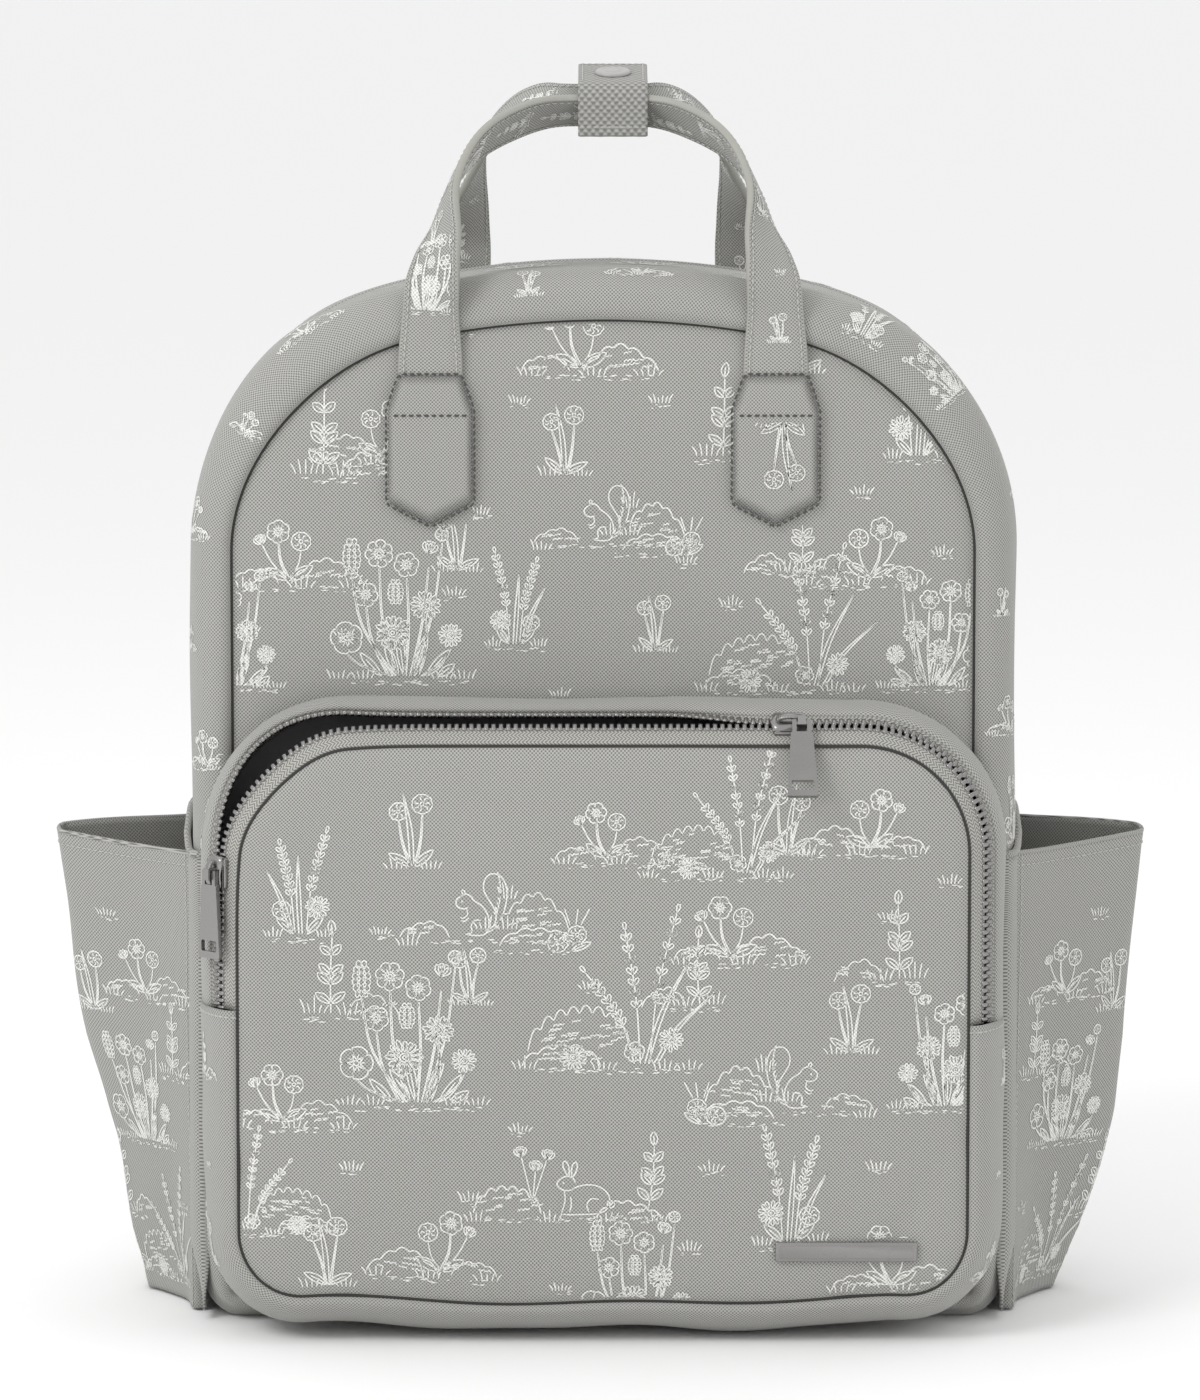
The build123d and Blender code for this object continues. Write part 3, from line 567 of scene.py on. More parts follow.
def resample_keep(arr, step):
    """Resamples rows by the arc length of the first three columns."""
    d = np.linalg.norm(np.diff(arr[:, :3], axis=0), axis=1)
    s = np.concatenate([[0], np.cumsum(d)])
    n = max(2, int(round(s[-1] / step)) + 1)
    q = np.linspace(0, s[-1], n)
    return np.stack([np.interp(q, s, arr[:, i]) for i in range(arr.shape[1])], 1)


# ---------------------------------------------------------------- print drawing
def spline(pts, n=None):
    """Catmull-Rom through 2-D points."""
    p = np.asarray(pts, float)
    if len(p) < 3:
        n = n or 5
        q = np.linspace(0, 1, n)[:, None]
        return p[0] * (1 - q) + p[-1] * q
    e = np.vstack([2 * p[0] - p[1], p, 2 * p[-1] - p[-2]])
    out = []
    per = max(3, int((n or len(p) * 4) / (len(p) - 1)))
    for i in range(1, len(e) - 2):
        t = np.linspace(0, 1, per, endpoint=False)[:, None]
        a, b, c, d = e[i - 1], e[i], e[i + 1], e[i + 2]
        out.append(0.5 * (2 * b + (c - a) * t + (2 * a - 5 * b + 4 * c - d) * t**2 + (3 * b - a - 3 * c + d) * t**3))
    out.append(p[-1:])
    return np.vstack(out)


def loop(cx, cy, rx, ry, ang=0.0, wob=0.0, n=14, k=5):
    a = np.linspace(0, 2 * math.pi, n + 1)
    r = 1 + wob * np.sin(k * a + rng.uniform(0, 6))
    x, y = rx * r * np.cos(a), ry * r * np.sin(a)
    c, s = math.cos(ang), math.sin(ang)
    return np.stack([cx + x * c - y * s, cy + x * s + y * c], 1)


def petal(cx, cy, ang, r0, r1, w, n=4):
    t = np.array([0, 0.35, 0.75, 1.0, 0.75, 0.35, 0])
    s = np.array([0, 0.75, 1.0, 0, -1.0, -0.75, 0])
    d = r0 + (r1 - r0) * t
    x, y = d * math.cos(ang) - s * w * math.sin(ang), d * math.sin(ang) + s * w * math.cos(ang)
    return spline(np.stack([cx + x, cy + y], 1), 14)


def leaf(x, y, ang, L, w, rib=True):
    t = np.linspace(0, 1, 6)
    up = np.sin(t * math.pi) ** 0.8 * w
    c, s = math.cos(ang), math.sin(ang)
    bend = 0.12 * L * t**2 * rng.uniform(-1, 1)

    def tr(a, b):
        return np.stack([x + a * c - b * s, y + a * s + b * c], 1)

    out = [tr(t * L, up + bend), tr(t * L, -up + bend)]
    if rib:
        out.append(tr(t[:5] * L * 0.9, bend[:5]))
    return out


def daisy(cx, cy, R, n=13):
    out = [loop(cx, cy, R * 0.27, R * 0.25, 0, 0.05, 9)]
    out.append(loop(cx, cy, R * 0.12, R * 0.11, 0, 0.2, 6))
    for i in range(n):
        a = i / n * 2 * math.pi + rng.uniform(-0.08, 0.08)
        out.append(petal(cx, cy, a, R * 0.3, R * rng.uniform(0.9, 1.05), R * 0.12))
    return out


def blossom(cx, cy, R, n=6):
    out = [loop(cx, cy, R * 0.16, R * 0.16, 0, 0.1, 7)]
    off = rng.uniform(0, 1)
    for i in range(n):
        a = (i + off) / n * 2 * math.pi
        out.append(petal(cx, cy, a, R * 0.2, R, R * 0.62 * math.sin(math.pi / n) * 1.3))
        out.append(np.array([[cx + R * 0.22 * math.cos(a), cy + R * 0.22 * math.sin(a)], [cx + R * 0.55 * math.cos(a), cy + R * 0.55 * math.sin(a)]]))
    return out


def round_head(cx, cy, R):
    out = [loop(cx, cy, R, R * 0.95, 0, 0.06, 20, 9)]
    out.append(loop(cx, cy, R * 0.22, R * 0.22, 0, 0.1, 7))
    for i in range(7):
        a = i / 7 * 2 * math.pi + rng.uniform(-0.2, 0.2)
        out.append(spline([(cx + R * 0.32 * math.cos(a), cy + R * 0.32 * math.sin(a)), (cx + R * 0.6 * math.cos(a + 0.3), cy + R * 0.6 * math.sin(a + 0.3)), (cx + R * 0.78 * math.cos(a - 0.05), cy + R * 0.78 * math.sin(a - 0.05))], 5))
    return out


def cone(cx, cy, w, h):
    out = []
    rows = 6
    for r in range(rows):
        f = (r + 0.5) / rows
        ww = w * math.sin(math.pi * (0.12 + 0.8 * f)) ** 0.7
        y = cy - h / 2 + h * f
        m = 3 if ww > 0.6 * w else 2
        for j in range(m):
            x = cx + (j - (m - 1) / 2) * ww * 1.9 / m
            out.append(loop(x, y, ww * 0.9 / m, h / rows * 0.55, rng.uniform(-0.3, 0.3), 0.05, 8))
    return out


def bell(cx, cy, R, ang=math.pi / 2):
    out = []
    for d in (-0.6, -0.2, 0.2, 0.6):
        out.append(petal(cx, cy, ang + d, 0.0, R * (1.0 - 0.15 * abs(d)), R * 0.22))
    return out


def stem(x0, y0, x1, y1, bend=0.0, double=False):
    mx, my = (x0 + x1) / 2 + bend, (y0 + y1) / 2
    a = spline([(x0, y0), (mx, my), (x1, y1)], 9)
    if not double:
        return [a]
    return [a, a + np.array([0.75, 0.0]) * np.linspace(1, 0.3, len(a))[:, None]]


def blade(x, y, h, lean):
    tip = (x + lean, y + h)
    a = spline([(x - 0.6, y), (x - 0.4 + lean * 0.35, y + h * 0.5), tip], 9)
    b = spline([(x + 0.6, y), (x + 1.0 + lean * 0.35, y + h * 0.5), tip], 9)
    return [a, b]


def tuft(x, y, w=6.0, h=4.5, n=5):
    out = []
    for i in range(n):
        f = (i - (n - 1) / 2) / max(n - 1, 1)
        hh = h * rng.uniform(0.5, 1.0) * (1 - abs(f) * 0.5)
        out.append(spline([(x + f * w, y), (x + f * w * 1.15, y + hh * 0.5), (x + f * w * 1.5, y + hh)], 4))
    return out


def ground(x, y, w):
    out = []
    n = int(w / 1.5)
    for i in range(n):
        px = x + rng.uniform(-0.5, 0.5) * w
        py = y + rng.uniform(-1.3, 0.5)
        L = rng.uniform(0.8, 2.4)
        out.append(np.array([[px, py], [px + L, py + rng.uniform(-0.3, 0.4)]]))
    return out


def wheat(x, y, h, lean):
    tipx, tipy = x + lean, y + h
    s = spline([(x, y), (x + lean * 0.3, y + h * 0.5), (tipx, tipy)], 12)
    out = [s]
    m = max(5, int(h * 0.55 / 2.6))
    for i in range(m):
        f = 0.45 + 0.55 * i / m
        q = min(int(f * (len(s) - 1)), len(s) - 2)
        p = s[q]
        d = s[q + 1] - s[q]
        a = math.atan2(d[1], d[0])
        for sg in (-1, 1):
            out.append(petal(p[0], p[1], a + sg * 0.55, 0.2, 3.1, 0.62))
    out.append(petal(tipx, tipy, math.atan2(s[-1][1] - s[-2][1], s[-1][0] - s[-2][0]), 0, 3.0, 0.6))
    return out


def sprig(x, y, h, lean=0.0, L=5.5):
    s = stem(x, y, x + lean, y + h, rng.uniform(-1, 1))[0]
    out = [s]
    m = max(3, int(h / 4.2))
    for i in range(1, m):
        p = s[int(i / m * (len(s) - 1))]
        for sg in (-1, 1):
            out += leaf(p[0], p[1], math.pi / 2 + sg * 0.85, L * (1.05 - 0.4 * i / m), L * 0.20, rib=(L > 4))
    out += leaf(x + lean, y + h, math.pi / 2, L * 0.8, L * 0.2)
    return out


def mound(x, y, w, h, lumps=7):
    """A bushy hump: scalloped skyline with loose scribble inside."""
    pts = []
    n = lumps * 5 + 1
    for i in range(n):
        f = i / (n - 1)
        base = math.sin(math.pi * f) ** 0.75 * h * (1 + 0.15 * math.sin(5 * f + x))
        bump = abs(math.sin(math.pi * f * lumps)) * h * 0.16
        pts.append((x + (f - 0.5) * w, y + base * 0.86 + bump))
    out = [spline(pts, n * 2)]
    for i in range(int(w * h / 20) + 2):
        f = rng.uniform(0.12, 0.88)
        top = math.sin(math.pi * f) ** 0.75 * h * 0.8
        py = y + rng.uniform(0.05, 0.85) * top
        px = x + (f - 0.5) * w
        L = rng.uniform(1.8, 4.6)
        q = [(px + t * L, py + 0.9 * abs(math.sin(t * math.pi * 2.5)) + 0.4 * t) for t in np.linspace(0, 1, 8)]
        out.append(spline(q, 14))
    return out


def rabbit(x, y, s):
    """A small plain rabbit sitting in profile."""
    o = []
    body = [(0, 0), (2.5, -0.3), (8, -0.2), (13, 0), (16.5, 1.2), (18.2, 4), (17.5, 7.5), (14, 10.2), (9.5, 10.8), (6, 10.0), (4.2, 9.2)]
    o.append(spline(body, 44))
    head = [(4.4, 9.0), (2.6, 8.6), (0.6, 8.9), (-1.2, 10.2), (-1.4, 11.6), (0.2, 13.2), (2.4, 14.0), (4.6, 13.2), (5.4, 11.4)]
    o.append(spline(head, 30))
    o.append(petal(3.0, 13.6, 1.85, 0, 6.4, 1.0))
    o.append(petal(4.2, 13.2, 1.35, 0, 6.2, 1.0))
    o.append(loop(1.0, 11.4, 0.35, 0.4, 0, 0, 6))
    o.append(loop(18.6, 3.6, 1.5, 1.4, 0, 0.12, 9))
    o.append(spline([(10.5, 0.6), (9.6, 3.2), (11.2, 5.6), (14.2, 5.4)], 10))
    o.append(spline([(1.2, 8.6), (1.6, 5.6), (1.0, 2.6), (0.2, 0.3)], 10))
    o.append(spline([(3.6, 6.4), (3.9, 3.4), (3.2, 0.6)], 8))
    return [np.array(a) * s + np.array([x, y]) for a in o]


def squirrel(x, y, s):
    """A small plain squirrel sitting up, with its tail behind it."""
    o = []
    o.append(spline([(2.0, 12.2), (0.6, 11.2), (0.3, 9.8), (1.2, 8.6), (2.8, 8.2), (4.2, 8.6)], 18))
    o.append(spline([(2.0, 12.2), (3.4, 12.9), (5.0, 12.2), (6.0, 10.8), (8.6, 9.0), (10.4, 6.0), (10.6, 2.6), (9.4, 0.2), (6.4, -0.2), (3.4, 0.2)], 36))
    o.append(spline([(3.6, 8.2), (4.0, 6.4), (2.6, 5.2), (1.6, 5.6)], 10))
    o.append(spline([(4.4, 5.4), (3.0, 4.2), (2.0, 4.6)], 8))
    o.append(spline([(8.2, 4.6), (6.2, 4.6), (5.0, 2.8), (5.4, 0.8), (3.2, 0.2)], 14))
    o.append(petal(3.0, 12.4, 1.9, 0, 1.9, 0.5))
    o.append(loop(2.3, 10.5, 0.3, 0.35, 0, 0, 6))
    o.append(spline([(9.6, 1.4), (12.2, 3.0), (13.0, 6.6), (11.2, 10.2), (9.2, 13.6), (9.2, 17.0), (11.2, 19.2), (14.2, 18.6), (16.0, 15.6), (16.2, 11.2), (15.0, 6.4), (12.4, 2.2), (10.0, 0.6)], 50))
    for i in range(9):
        f = i / 8
        px, py = 12.6 + 1.6 * math.sin(f * 2.4), 5.0 + 12.5 * f
        o.append(spline([(px, py), (px + 0.2, py + 1.2), (px - 0.5, py + 2.3)], 5))
    return [np.array(a) * s + np.array([x, y]) for a in o]


def flower_bunch(w=1.0):
    """Two round heads on stems with basal leaves."""
    o = []
    for dx, hh, r in ((-4.5, 15, 3.0), (3.2, 17, 3.3)):
        o += round_head(dx, hh + r, r)
        o += stem(dx * 0.15, 0, dx, hh, rng.uniform(-1, 1), True)
    o += blade(0, 0, 24, -3.0)
    o += leaf(0, 0, 2.5, 9, 1.2)
    o += leaf(0, 0, 0.6, 9, 1.2)
    o += tuft(-5, -0.5, 6, 5)
    o += tuft(6, -0.6, 5, 4)
    return o


def bouquet():
    """A tall cluster: cones, blossoms and daisies over leafy stems."""
    o = []
    o += cone(-19, 44, 3.6, 13)
    o += blossom(-9, 45, 5.2, 7)
    o += blossom(1, 41, 4.6, 6)
    o += bell(9, 45, 5.0, 1.3)
    o += round_head(14, 52, 2.4)
    o += cone(-3, 31, 3.2, 9)
    o += blossom(-14, 30, 4.6, 6)
    o += daisy(8, 26, 5.6, 15)
    o += daisy(-4, 16, 6.6, 16)
    o += blossom(-21, 14, 6.0, 5)
    o += daisy(17, 15, 4.6, 13)
    for x0, x1, y1, b in ((-4, -19, 37, -4), (-3, -9, 40, -2), (0, 1, 36, 1), (2, 9, 40, 1), (3, 14, 49, 2), (-6, -14, 26, -2), (4, 8, 21, 2), (-5, -21, 8, -3), (6, 17, 10, 2)):
        o += stem(x0, 0, x1, y1, b, True)
    for x0, a, L in ((-8, 2.4, 12), (-2, 2.0, 14), (3, 1.2, 16), (8, 0.8, 13), (0, 1.7, 18), (5, 1.45, 14), (12, 0.5, 8)):
        o += leaf(x0, 0, a, L, 1.5)
    for x0 in (-24, -15, 14, 22):
        o += tuft(x0, -1, 6, 5)
    o += ground(0, -2, 44)
    return o


def squirrel_scene():
    o = []
    o += squirrel(-17, 0, 1.15)
    o += mound(11, 2, 26, 12, 6)
    o += mound(14, -4, 30, 7, 5)
    o += round_head(20, -3, 3.6)
    o += round_head(27, 0, 3.4)
    o += leaf(25, -6, 0.5, 8, 1.1)
    for a in (-0.25, 0.1, 0.4):
        o.append(np.array([[26 + a * 6, 3.6], [26 + a * 14, 9.5]]))
    o += mound(-28, -1, 18, 6, 4)
    for x0 in (-34, -6, 2, 24):
        o += tuft(x0, 2 if x0 in (-6, 2) else -4, 6, 6)
    o += tuft(2, 13, 5, 8)
    o += ground(-2, -2, 60)
    o += ground(10, -6, 30)
    return o


def rabbit_scene():
    o = []
    o += rabbit(-4, 0, 0.95)
    o += mound(-23, 0, 24, 11, 6)
    for dx in (-18, -13, -9):
        o += bell(dx, 15 + abs(dx + 13), 4.0, 1.5 - (dx + 13) * 0.05)
        o += stem(-14, 4, dx, 15 + abs(dx + 13), 0)
    o += mound(20, -3, 24, 8, 5)
    o += sprig(27, 2, 22, 2, 6.5)
    for x0 in (-34, -8, 12, 30):
        o += tuft(x0, -3, 6, 5)
    o += ground(0, -2, 62)
    return o


def wheat_scene():
    o = []
    o += mound(-10, 4, 34, 17, 8)
    o += mound(-16, -1, 26, 8, 5)
    o += wheat(10, 0, 44, -5)
    o += wheat(13, 0, 50, 9)
    o += wheat(8, 0, 30, -16)
    o += blade(12, 0, 34, 14)
    o += blade(15, 0, 24, 20)
    o += daisy(20, 8, 4.2, 12)
    o += daisy(-12, 2, 4.6, 13)
    o += blossom(8, 4, 3.4, 6)
    for x0 in (-28, -2, 18, 26):
        o += tuft(x0, -2, 6, 5)
    o += ground(0, -2, 52)
    return o


def small_scene():
    """Two flowers and a leaf by a low mound."""
    o = []
    o += blossom(-3, 15, 3.6, 6)
    o += round_head(4, 12, 3.0)
    o += bell(-8, 11, 3.4, 2.0)
    o += stem(0, 0, -3, 12, -1, True)
    o += stem(0, 0, 4, 9, 1)
    o += stem(0, 0, -8, 11, -1)
    o += leaf(0, 0, 0.5, 9, 1.6)
    o += leaf(0, 0, 2.6, 8, 1.4)
    o += mound(12, -1, 22, 7, 5)
    o += mound(-10, -1, 14, 5, 4)
    for x0 in (-14, 4, 20):
        o += tuft(x0, -2.4, 6, 4.5)
    o += ground(3, -2.5, 36)
    return o


def sprig_scene():
    o = sprig(0, 0, 24, 0.5, 6.0)
    o += tuft(-5, 0, 6, 6)
    o += tuft(6, -0.5, 6, 5)
    o += mound(13, -1, 16, 7, 4)
    o += ground(2, -1.5, 22)
    return o


def tall_scene():
    """Wheat, a daisy and round heads in one narrow bunch."""
    o = []
    o += wheat(-2, 0, 38, -6)
    o += wheat(2, 0, 34, 7)
    o += blade(0, 0, 30, 2)
    o += blade(3, 0, 24, 10)
    o += daisy(-6, 10, 4.6, 13)
    o += round_head(7, 9, 3.4)
    o += leaf(-2, 0, 2.3, 9, 1.3)
    o += leaf(2, 0, 0.8, 9, 1.3)
    o += tuft(-9, -1, 5, 5)
    o += tuft(10, -1, 5, 5)
    o += ground(0, -2, 24)
    return o


def tuft_scene():
    return tuft(0, 0, 6, 4.5, 6) + ground(0, -0.6, 8)


SCENES = {
    "A": bouquet, "B": squirrel_scene, "C": small_scene, "D": wheat_scene, "E": rabbit_scene,
    "F": sprig_scene, "G": flower_bunch, "I": tall_scene, "t": tuft_scene,
}


def draw(build, strokes, at, to3d, keep, scale=1.0, flip=False, rot=0.0, width=0.62, lift=0.2):
    """Lays strokes on a surface: to3d maps (n, 2) to points and normals, keep says what is on the cloth."""
    c, s = math.cos(rot), math.sin(rot)
    for st in strokes:
        q = np.asarray(st, float) * scale
        if flip:
            q = q * np.array([-1, 1])
        q = np.stack([q[:, 0] * c - q[:, 1] * s, q[:, 0] * s + q[:, 1] * c], 1) + np.asarray(at, float)
        L = np.linalg.norm(np.diff(q, axis=0), axis=1).sum()
        if L < 0.4:
            continue
        q = resample(q, 0.9 if L < 8 else 1.15)
        ok = keep(q)
        run = []
        for i in range(len(q) + 1):
            if i < len(q) and ok[i]:
                run.append(i)
                continue
            if len(run) >= 2:
                ribbon(build, q[run], to3d, width * rng.uniform(0.85, 1.15), lift)
            run = []


def ribbon(build, q, to3d, width, lift):
    t = np.gradient(q, axis=0)
    t /= np.linalg.norm(t, axis=1, keepdims=True) + 1e-9
    n = np.stack([-t[:, 1], t[:, 0]], 1)
    w = np.full(len(q), width / 2)
    w[0] *= 0.55
    w[-1] *= 0.55
    w *= 1 + 0.12 * np.sin(np.arange(len(q)) * 1.7 + rng.uniform(0, 6))
    a, b = q + n * w[:, None], q - n * w[:, None]
    pa, na = to3d(a)
    pb, nb = to3d(b)
    V = np.empty((len(q) * 2, 3))
    V[0::2] = pa + na * lift
    V[1::2] = pb + nb * lift
    uv = np.empty((len(q) * 2, 2))
    uv[0::2], uv[1::2] = a, b
    F = [(2 * i, 2 * i + 1, 2 * i + 3, 2 * i + 2) for i in range(len(q) - 1)]
    build.add(V, F, uv)


class Planar:
    """A surface y = height(x, z), looked up on a fine grid."""

    def __init__(self, x0, x1, z0, z1, height, step=2.0, sign=-1.0):
        self.x = np.arange(x0, x1 + step, step)
        self.z = np.arange(z0, z1 + step, step)
        X, Z = np.meshgrid(self.x, self.z, indexing="ij")
        self.y = height(X, Z)
        self.gx, self.gz = np.gradient(self.y, step, step)
        self.step, self.sign = step, sign

    def _pick(self, A, q):
        fx = np.clip((q[:, 0] - self.x[0]) / self.step, 0, len(self.x) - 1.001)
        fz = np.clip((q[:, 1] - self.z[0]) / self.step, 0, len(self.z) - 1.001)
        i, j = fx.astype(int), fz.astype(int)
        a, b = fx - i, fz - j
        return A[i, j] * (1 - a) * (1 - b) + A[i + 1, j] * a * (1 - b) + A[i, j + 1] * (1 - a) * b + A[i + 1, j + 1] * a * b

    def __call__(self, q):
        y = self._pick(self.y, q)
        n = np.stack([-self._pick(self.gx, q), np.ones(len(q)), -self._pick(self.gz, q)], 1) * self.sign
        n /= np.linalg.norm(n, axis=1, keepdims=True)
        return np.stack([q[:, 0], y, q[:, 1]], 1), n


class Mapped:
    """A surface given as a grid of points over (u, v) lengths in mm."""

    def __init__(self, P, u, v, sign=1.0):
        self.P, self.u, self.v = P, np.asarray(u, float), np.asarray(v, float)
        self.N = grid_normals(P) * sign

    def __call__(self, q):
        fu = np.clip(np.interp(q[:, 0], self.u, np.arange(len(self.u))), 0, len(self.u) - 1.001)
        fv = np.clip(np.interp(q[:, 1], self.v, np.arange(len(self.v))), 0, len(self.v) - 1.001)
        i, j = fu.astype(int), fv.astype(int)
        a, b = (fu - i)[:, None], (fv - j)[:, None]

        def pick(A):
            return A[i, j] * (1 - a) * (1 - b) + A[i + 1, j] * a * (1 - b) + A[i, j + 1] * (1 - a) * b + A[i + 1, j + 1] * a * b

        n = pick(self.N)
        return pick(self.P), n / (np.linalg.norm(n, axis=1, keepdims=True) + 1e-9)


# ---------------------------------------------------------------- body shell
SIN45 = math.sqrt(0.5)


def front_y(x, z):
    d = distance_to(front_seam.p, x, z)
    crown = 2.7 * (1 - np.exp(-d / 4.0)) + 2.4 * (1 - np.exp(-d / 70.0))
    return -69.3 - crown + wave(x, z, 0.55, 1) * smoothstep(8, 50, d)


def back_y(x, z):
    d = distance_to(back_seam.p, x, z)
    crown = 1.9 * (1 - np.exp(-d / 4.0)) + 1.3 * (1 - np.exp(-d / 60.0))
    chan = 0.0
    for zc in (70.0, 140.0, 210.0, 280.0):
        chan = chan + 1.2 * np.exp(-(((z - zc) / 4.2) ** 2)) * smoothstep(12, 24, d)
    return 69.6 + crown - chan


panel = dome("front_panel", front_seam, front_y, canvas, flip=True)
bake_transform(panel)
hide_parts("front_panel_lower", "front_panel_upper")

back_piece = dome("back_panel_cloth", back_seam, back_y, mesh_cloth, fill=80)
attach(back_piece, "body")
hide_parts("back_panel", "back_foam_pad")


def section(ctrl, n):
    return resample(spline(ctrl, len(ctrl) * 6), np.linalg.norm(np.diff(spline(ctrl, len(ctrl) * 6), axis=0), axis=1).sum() / (n - 1))[:n]


def ring_surface(path, sections):
    """sections: (n path points, nv, 2) of (outward, y)."""
    o, y = sections[..., 0], sections[..., 1]
    X = path.p[:, None, 0] + path.n[:, None, 0] * o
    Z = path.p[:, None, 1] + path.n[:, None, 1] * o
    return np.stack([X, y, Z], -1)


def body_lift(z):
    return smoothstep(2, 34, z)


def top_drop(z):
    """The arch settles a little at its crown."""
    return 2.4 * smoothstep(396, 419, z)


NV = 30
front_sections = []
rear_sections = []
for (px, pz), (nx, nz) in zip(body_path.p, body_path.n):
    si = float(seam_inset(pz))
    g = float(body_lift(pz))
    puff = 0.5 * math.sin(pz / 21.0 + px / 33.0) * g
    low_ = 1 - 0.8 * float(smoothstep(385, 416, pz))
    drop = float(top_drop(pz))
    f = [(-si, -69.2), (-si + 0.5, -71.6), (-si + 2.4, -73.2), (-si * 0.45, -72.6), (-si * 0.45 + 5.4 * g + 1.0, -67.6),
         (2.9 + (4.3 * g - 2.9) * low_, -60), (2.9 + (5.8 * g + puff - 2.9) * low_, -47), (2.9 + (5.6 * g + puff - 2.9) * low_, -25),
         (2.9 + (4.4 * g - 2.9) * low_, 0), (3.2 * g, 17), (2.9 * g + 0.05, 27.3), (1.6 * g, 28.4)]
    f = [(o_ - drop * smoothstep(-74, -50, y_), y_) for o_, y_ in f]
    front_sections.append(section(f, NV))
    r = [(1.6 * g - drop, 43.6), (2.9 * g + 0.05 - drop, 44.8), (2.6 + (4.2 * g - 2.6) * low_ - drop, 51), (2.2 + (4.6 * g - 2.2) * low_ - drop, 59), (2.2 * g - 0.6 - drop, 66.5),
         (-4.0 - drop * 0.5, 70.6), (-8.6, 70.9), (-10.0, 69.4)]
    rear_sections.append(section(r, 18))
front_sections = np.array(front_sections)
rear_sections = np.array(rear_sections)


def closed_surface(name, path, sections, mat, flip=False):
    P = ring_surface(path, sections)
    P = np.concatenate([P, P[:1]], 0)
    u = np.concatenate([path.s, [path.length]])
    seg = np.linalg.norm(np.diff(P, axis=1), axis=2)
    v = np.concatenate([[0], np.cumsum(seg.mean(0))])
    U, V = np.meshgrid(u, v, indexing="ij")
    ob = grid_obj(name, P, np.stack([U, V], -1), mat, flip=flip)
    return ob, Mapped(P, u, v), u, v


g_front, map_front, gu, gv = closed_surface("gusset_front", body_path, front_sections, canvas)
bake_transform(g_front)
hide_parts("top_gusset_front", "side_gusset_left", "side_gusset_right", "base_panel")
g_rear, map_rear, ru, rv = closed_surface("gusset_rear", body_path, rear_sections, canvas)
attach(g_rear, "body")
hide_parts("top_gusset_rear")

# the strip that joins them under the ends of the zip
low = np.where(body_path.p[:, 1] < 206)[0]
order = np.concatenate([low[low > len(body_path.p) // 2], low[low <= len(body_path.p) // 2]])
sub = body_path
Pm = []
for i in order:
    g = float(body_lift(sub.p[i, 1]))
    sec = np.array([(1.6 * g, 28.2), (2.8 * g + 0.05, 29.4), (2.9 * g + 0.05, 36.0), (2.8 * g + 0.05, 42.8), (1.6 * g, 44.0)])
    X = sub.p[i, 0] + sub.n[i, 0] * sec[:, 0]
    Z = sub.p[i, 1] + sub.n[i, 1] * sec[:, 0]
    Pm.append(np.stack([X, sec[:, 1], Z], -1))
Pm = np.array(Pm)
um = np.concatenate([[0], np.cumsum(np.linalg.norm(np.diff(Pm[:, 2], axis=0), axis=1))])
Um, Vm = np.meshgrid(um, [0, 2, 8, 14, 16], indexing="ij")
mid = grid_obj("gusset_middle", Pm, np.stack([Um, Vm + 5.0], -1), canvas)
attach(mid, "body")

# a dark tube along the front panel's seam is painted shadow standing in for the shade in its crease; a bound edge runs
# along the back panel's seam
seam_shadow_tube = tube("front_seam_crease", np.stack([front_seam.p[:, 0], np.full(len(front_seam.p), -69.75), front_seam.p[:, 1]], 1), 0.62, seam_shadow_paint, closed=True, sides=6)
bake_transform(seam_shadow_tube)
bcrease = tube("back_seam_binding", np.stack([back_seam.p[:, 0], np.full(len(back_seam.p), 70.2), back_seam.p[:, 1]], 1), 1.3, strap_canvas, closed=True, sides=8)
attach(bcrease, "body")


# ---------------------------------------------------------------- zips
def tooth(build, c, t, a, n, long=1.75, reach=2.7, back=0.9, thick=2.3):
    """One zip tooth: c on the tape's bead, t along the chain, a towards the other row, n outward."""
    V = []
    for q, w, h in ((-back, 0.42, 0.85), (-back * 0.4, 0.5, 1.0), (reach * 0.55, 0.40, 1.0), (reach * 0.8, 0.5, 0.92), (reach, 0.3, 0.55)):
        for s1, s2 in ((-1, -1), (-1, 1), (1, 1), (1, -1)):
            V.append(c + a * q + t * (s1 * w * long) + n * (s2 * h * thick / 2))
    F = [(0, 1, 2, 3), (19, 18, 17, 16)]
    for k in range(4):
        for j in range(4):
            F.append((k * 4 + j, (k + 1) * 4 + j, (k + 1) * 4 + (j + 1) % 4, k * 4 + (j + 1) % 4))
    build.add(V, F)


def chain_rows(frames, pitch=2.9, phase=0.0):
    """frames: rows of origin, travel, across and outward vectors along the chain."""
    pts = np.array([f[0] for f in frames])
    d = np.linalg.norm(np.diff(pts, axis=0), axis=1)
    s = np.concatenate([[0], np.cumsum(d)])
    arr = np.array([np.concatenate(f) for f in frames])
    q = np.arange(phase, s[-1], pitch)
    return [np.array([np.interp(x, s, arr[:, i]) for i in range(12)]) for x in q]


def unit(v):
    return v / (np.linalg.norm(v) + 1e-9)


# main zip, closed over the arch from one side's end to the other's
arch_idx = np.where((body_path.p[:, 1] > 204.0))[0]
arch_idx = arch_idx[np.argsort(body_path.s[arch_idx])]


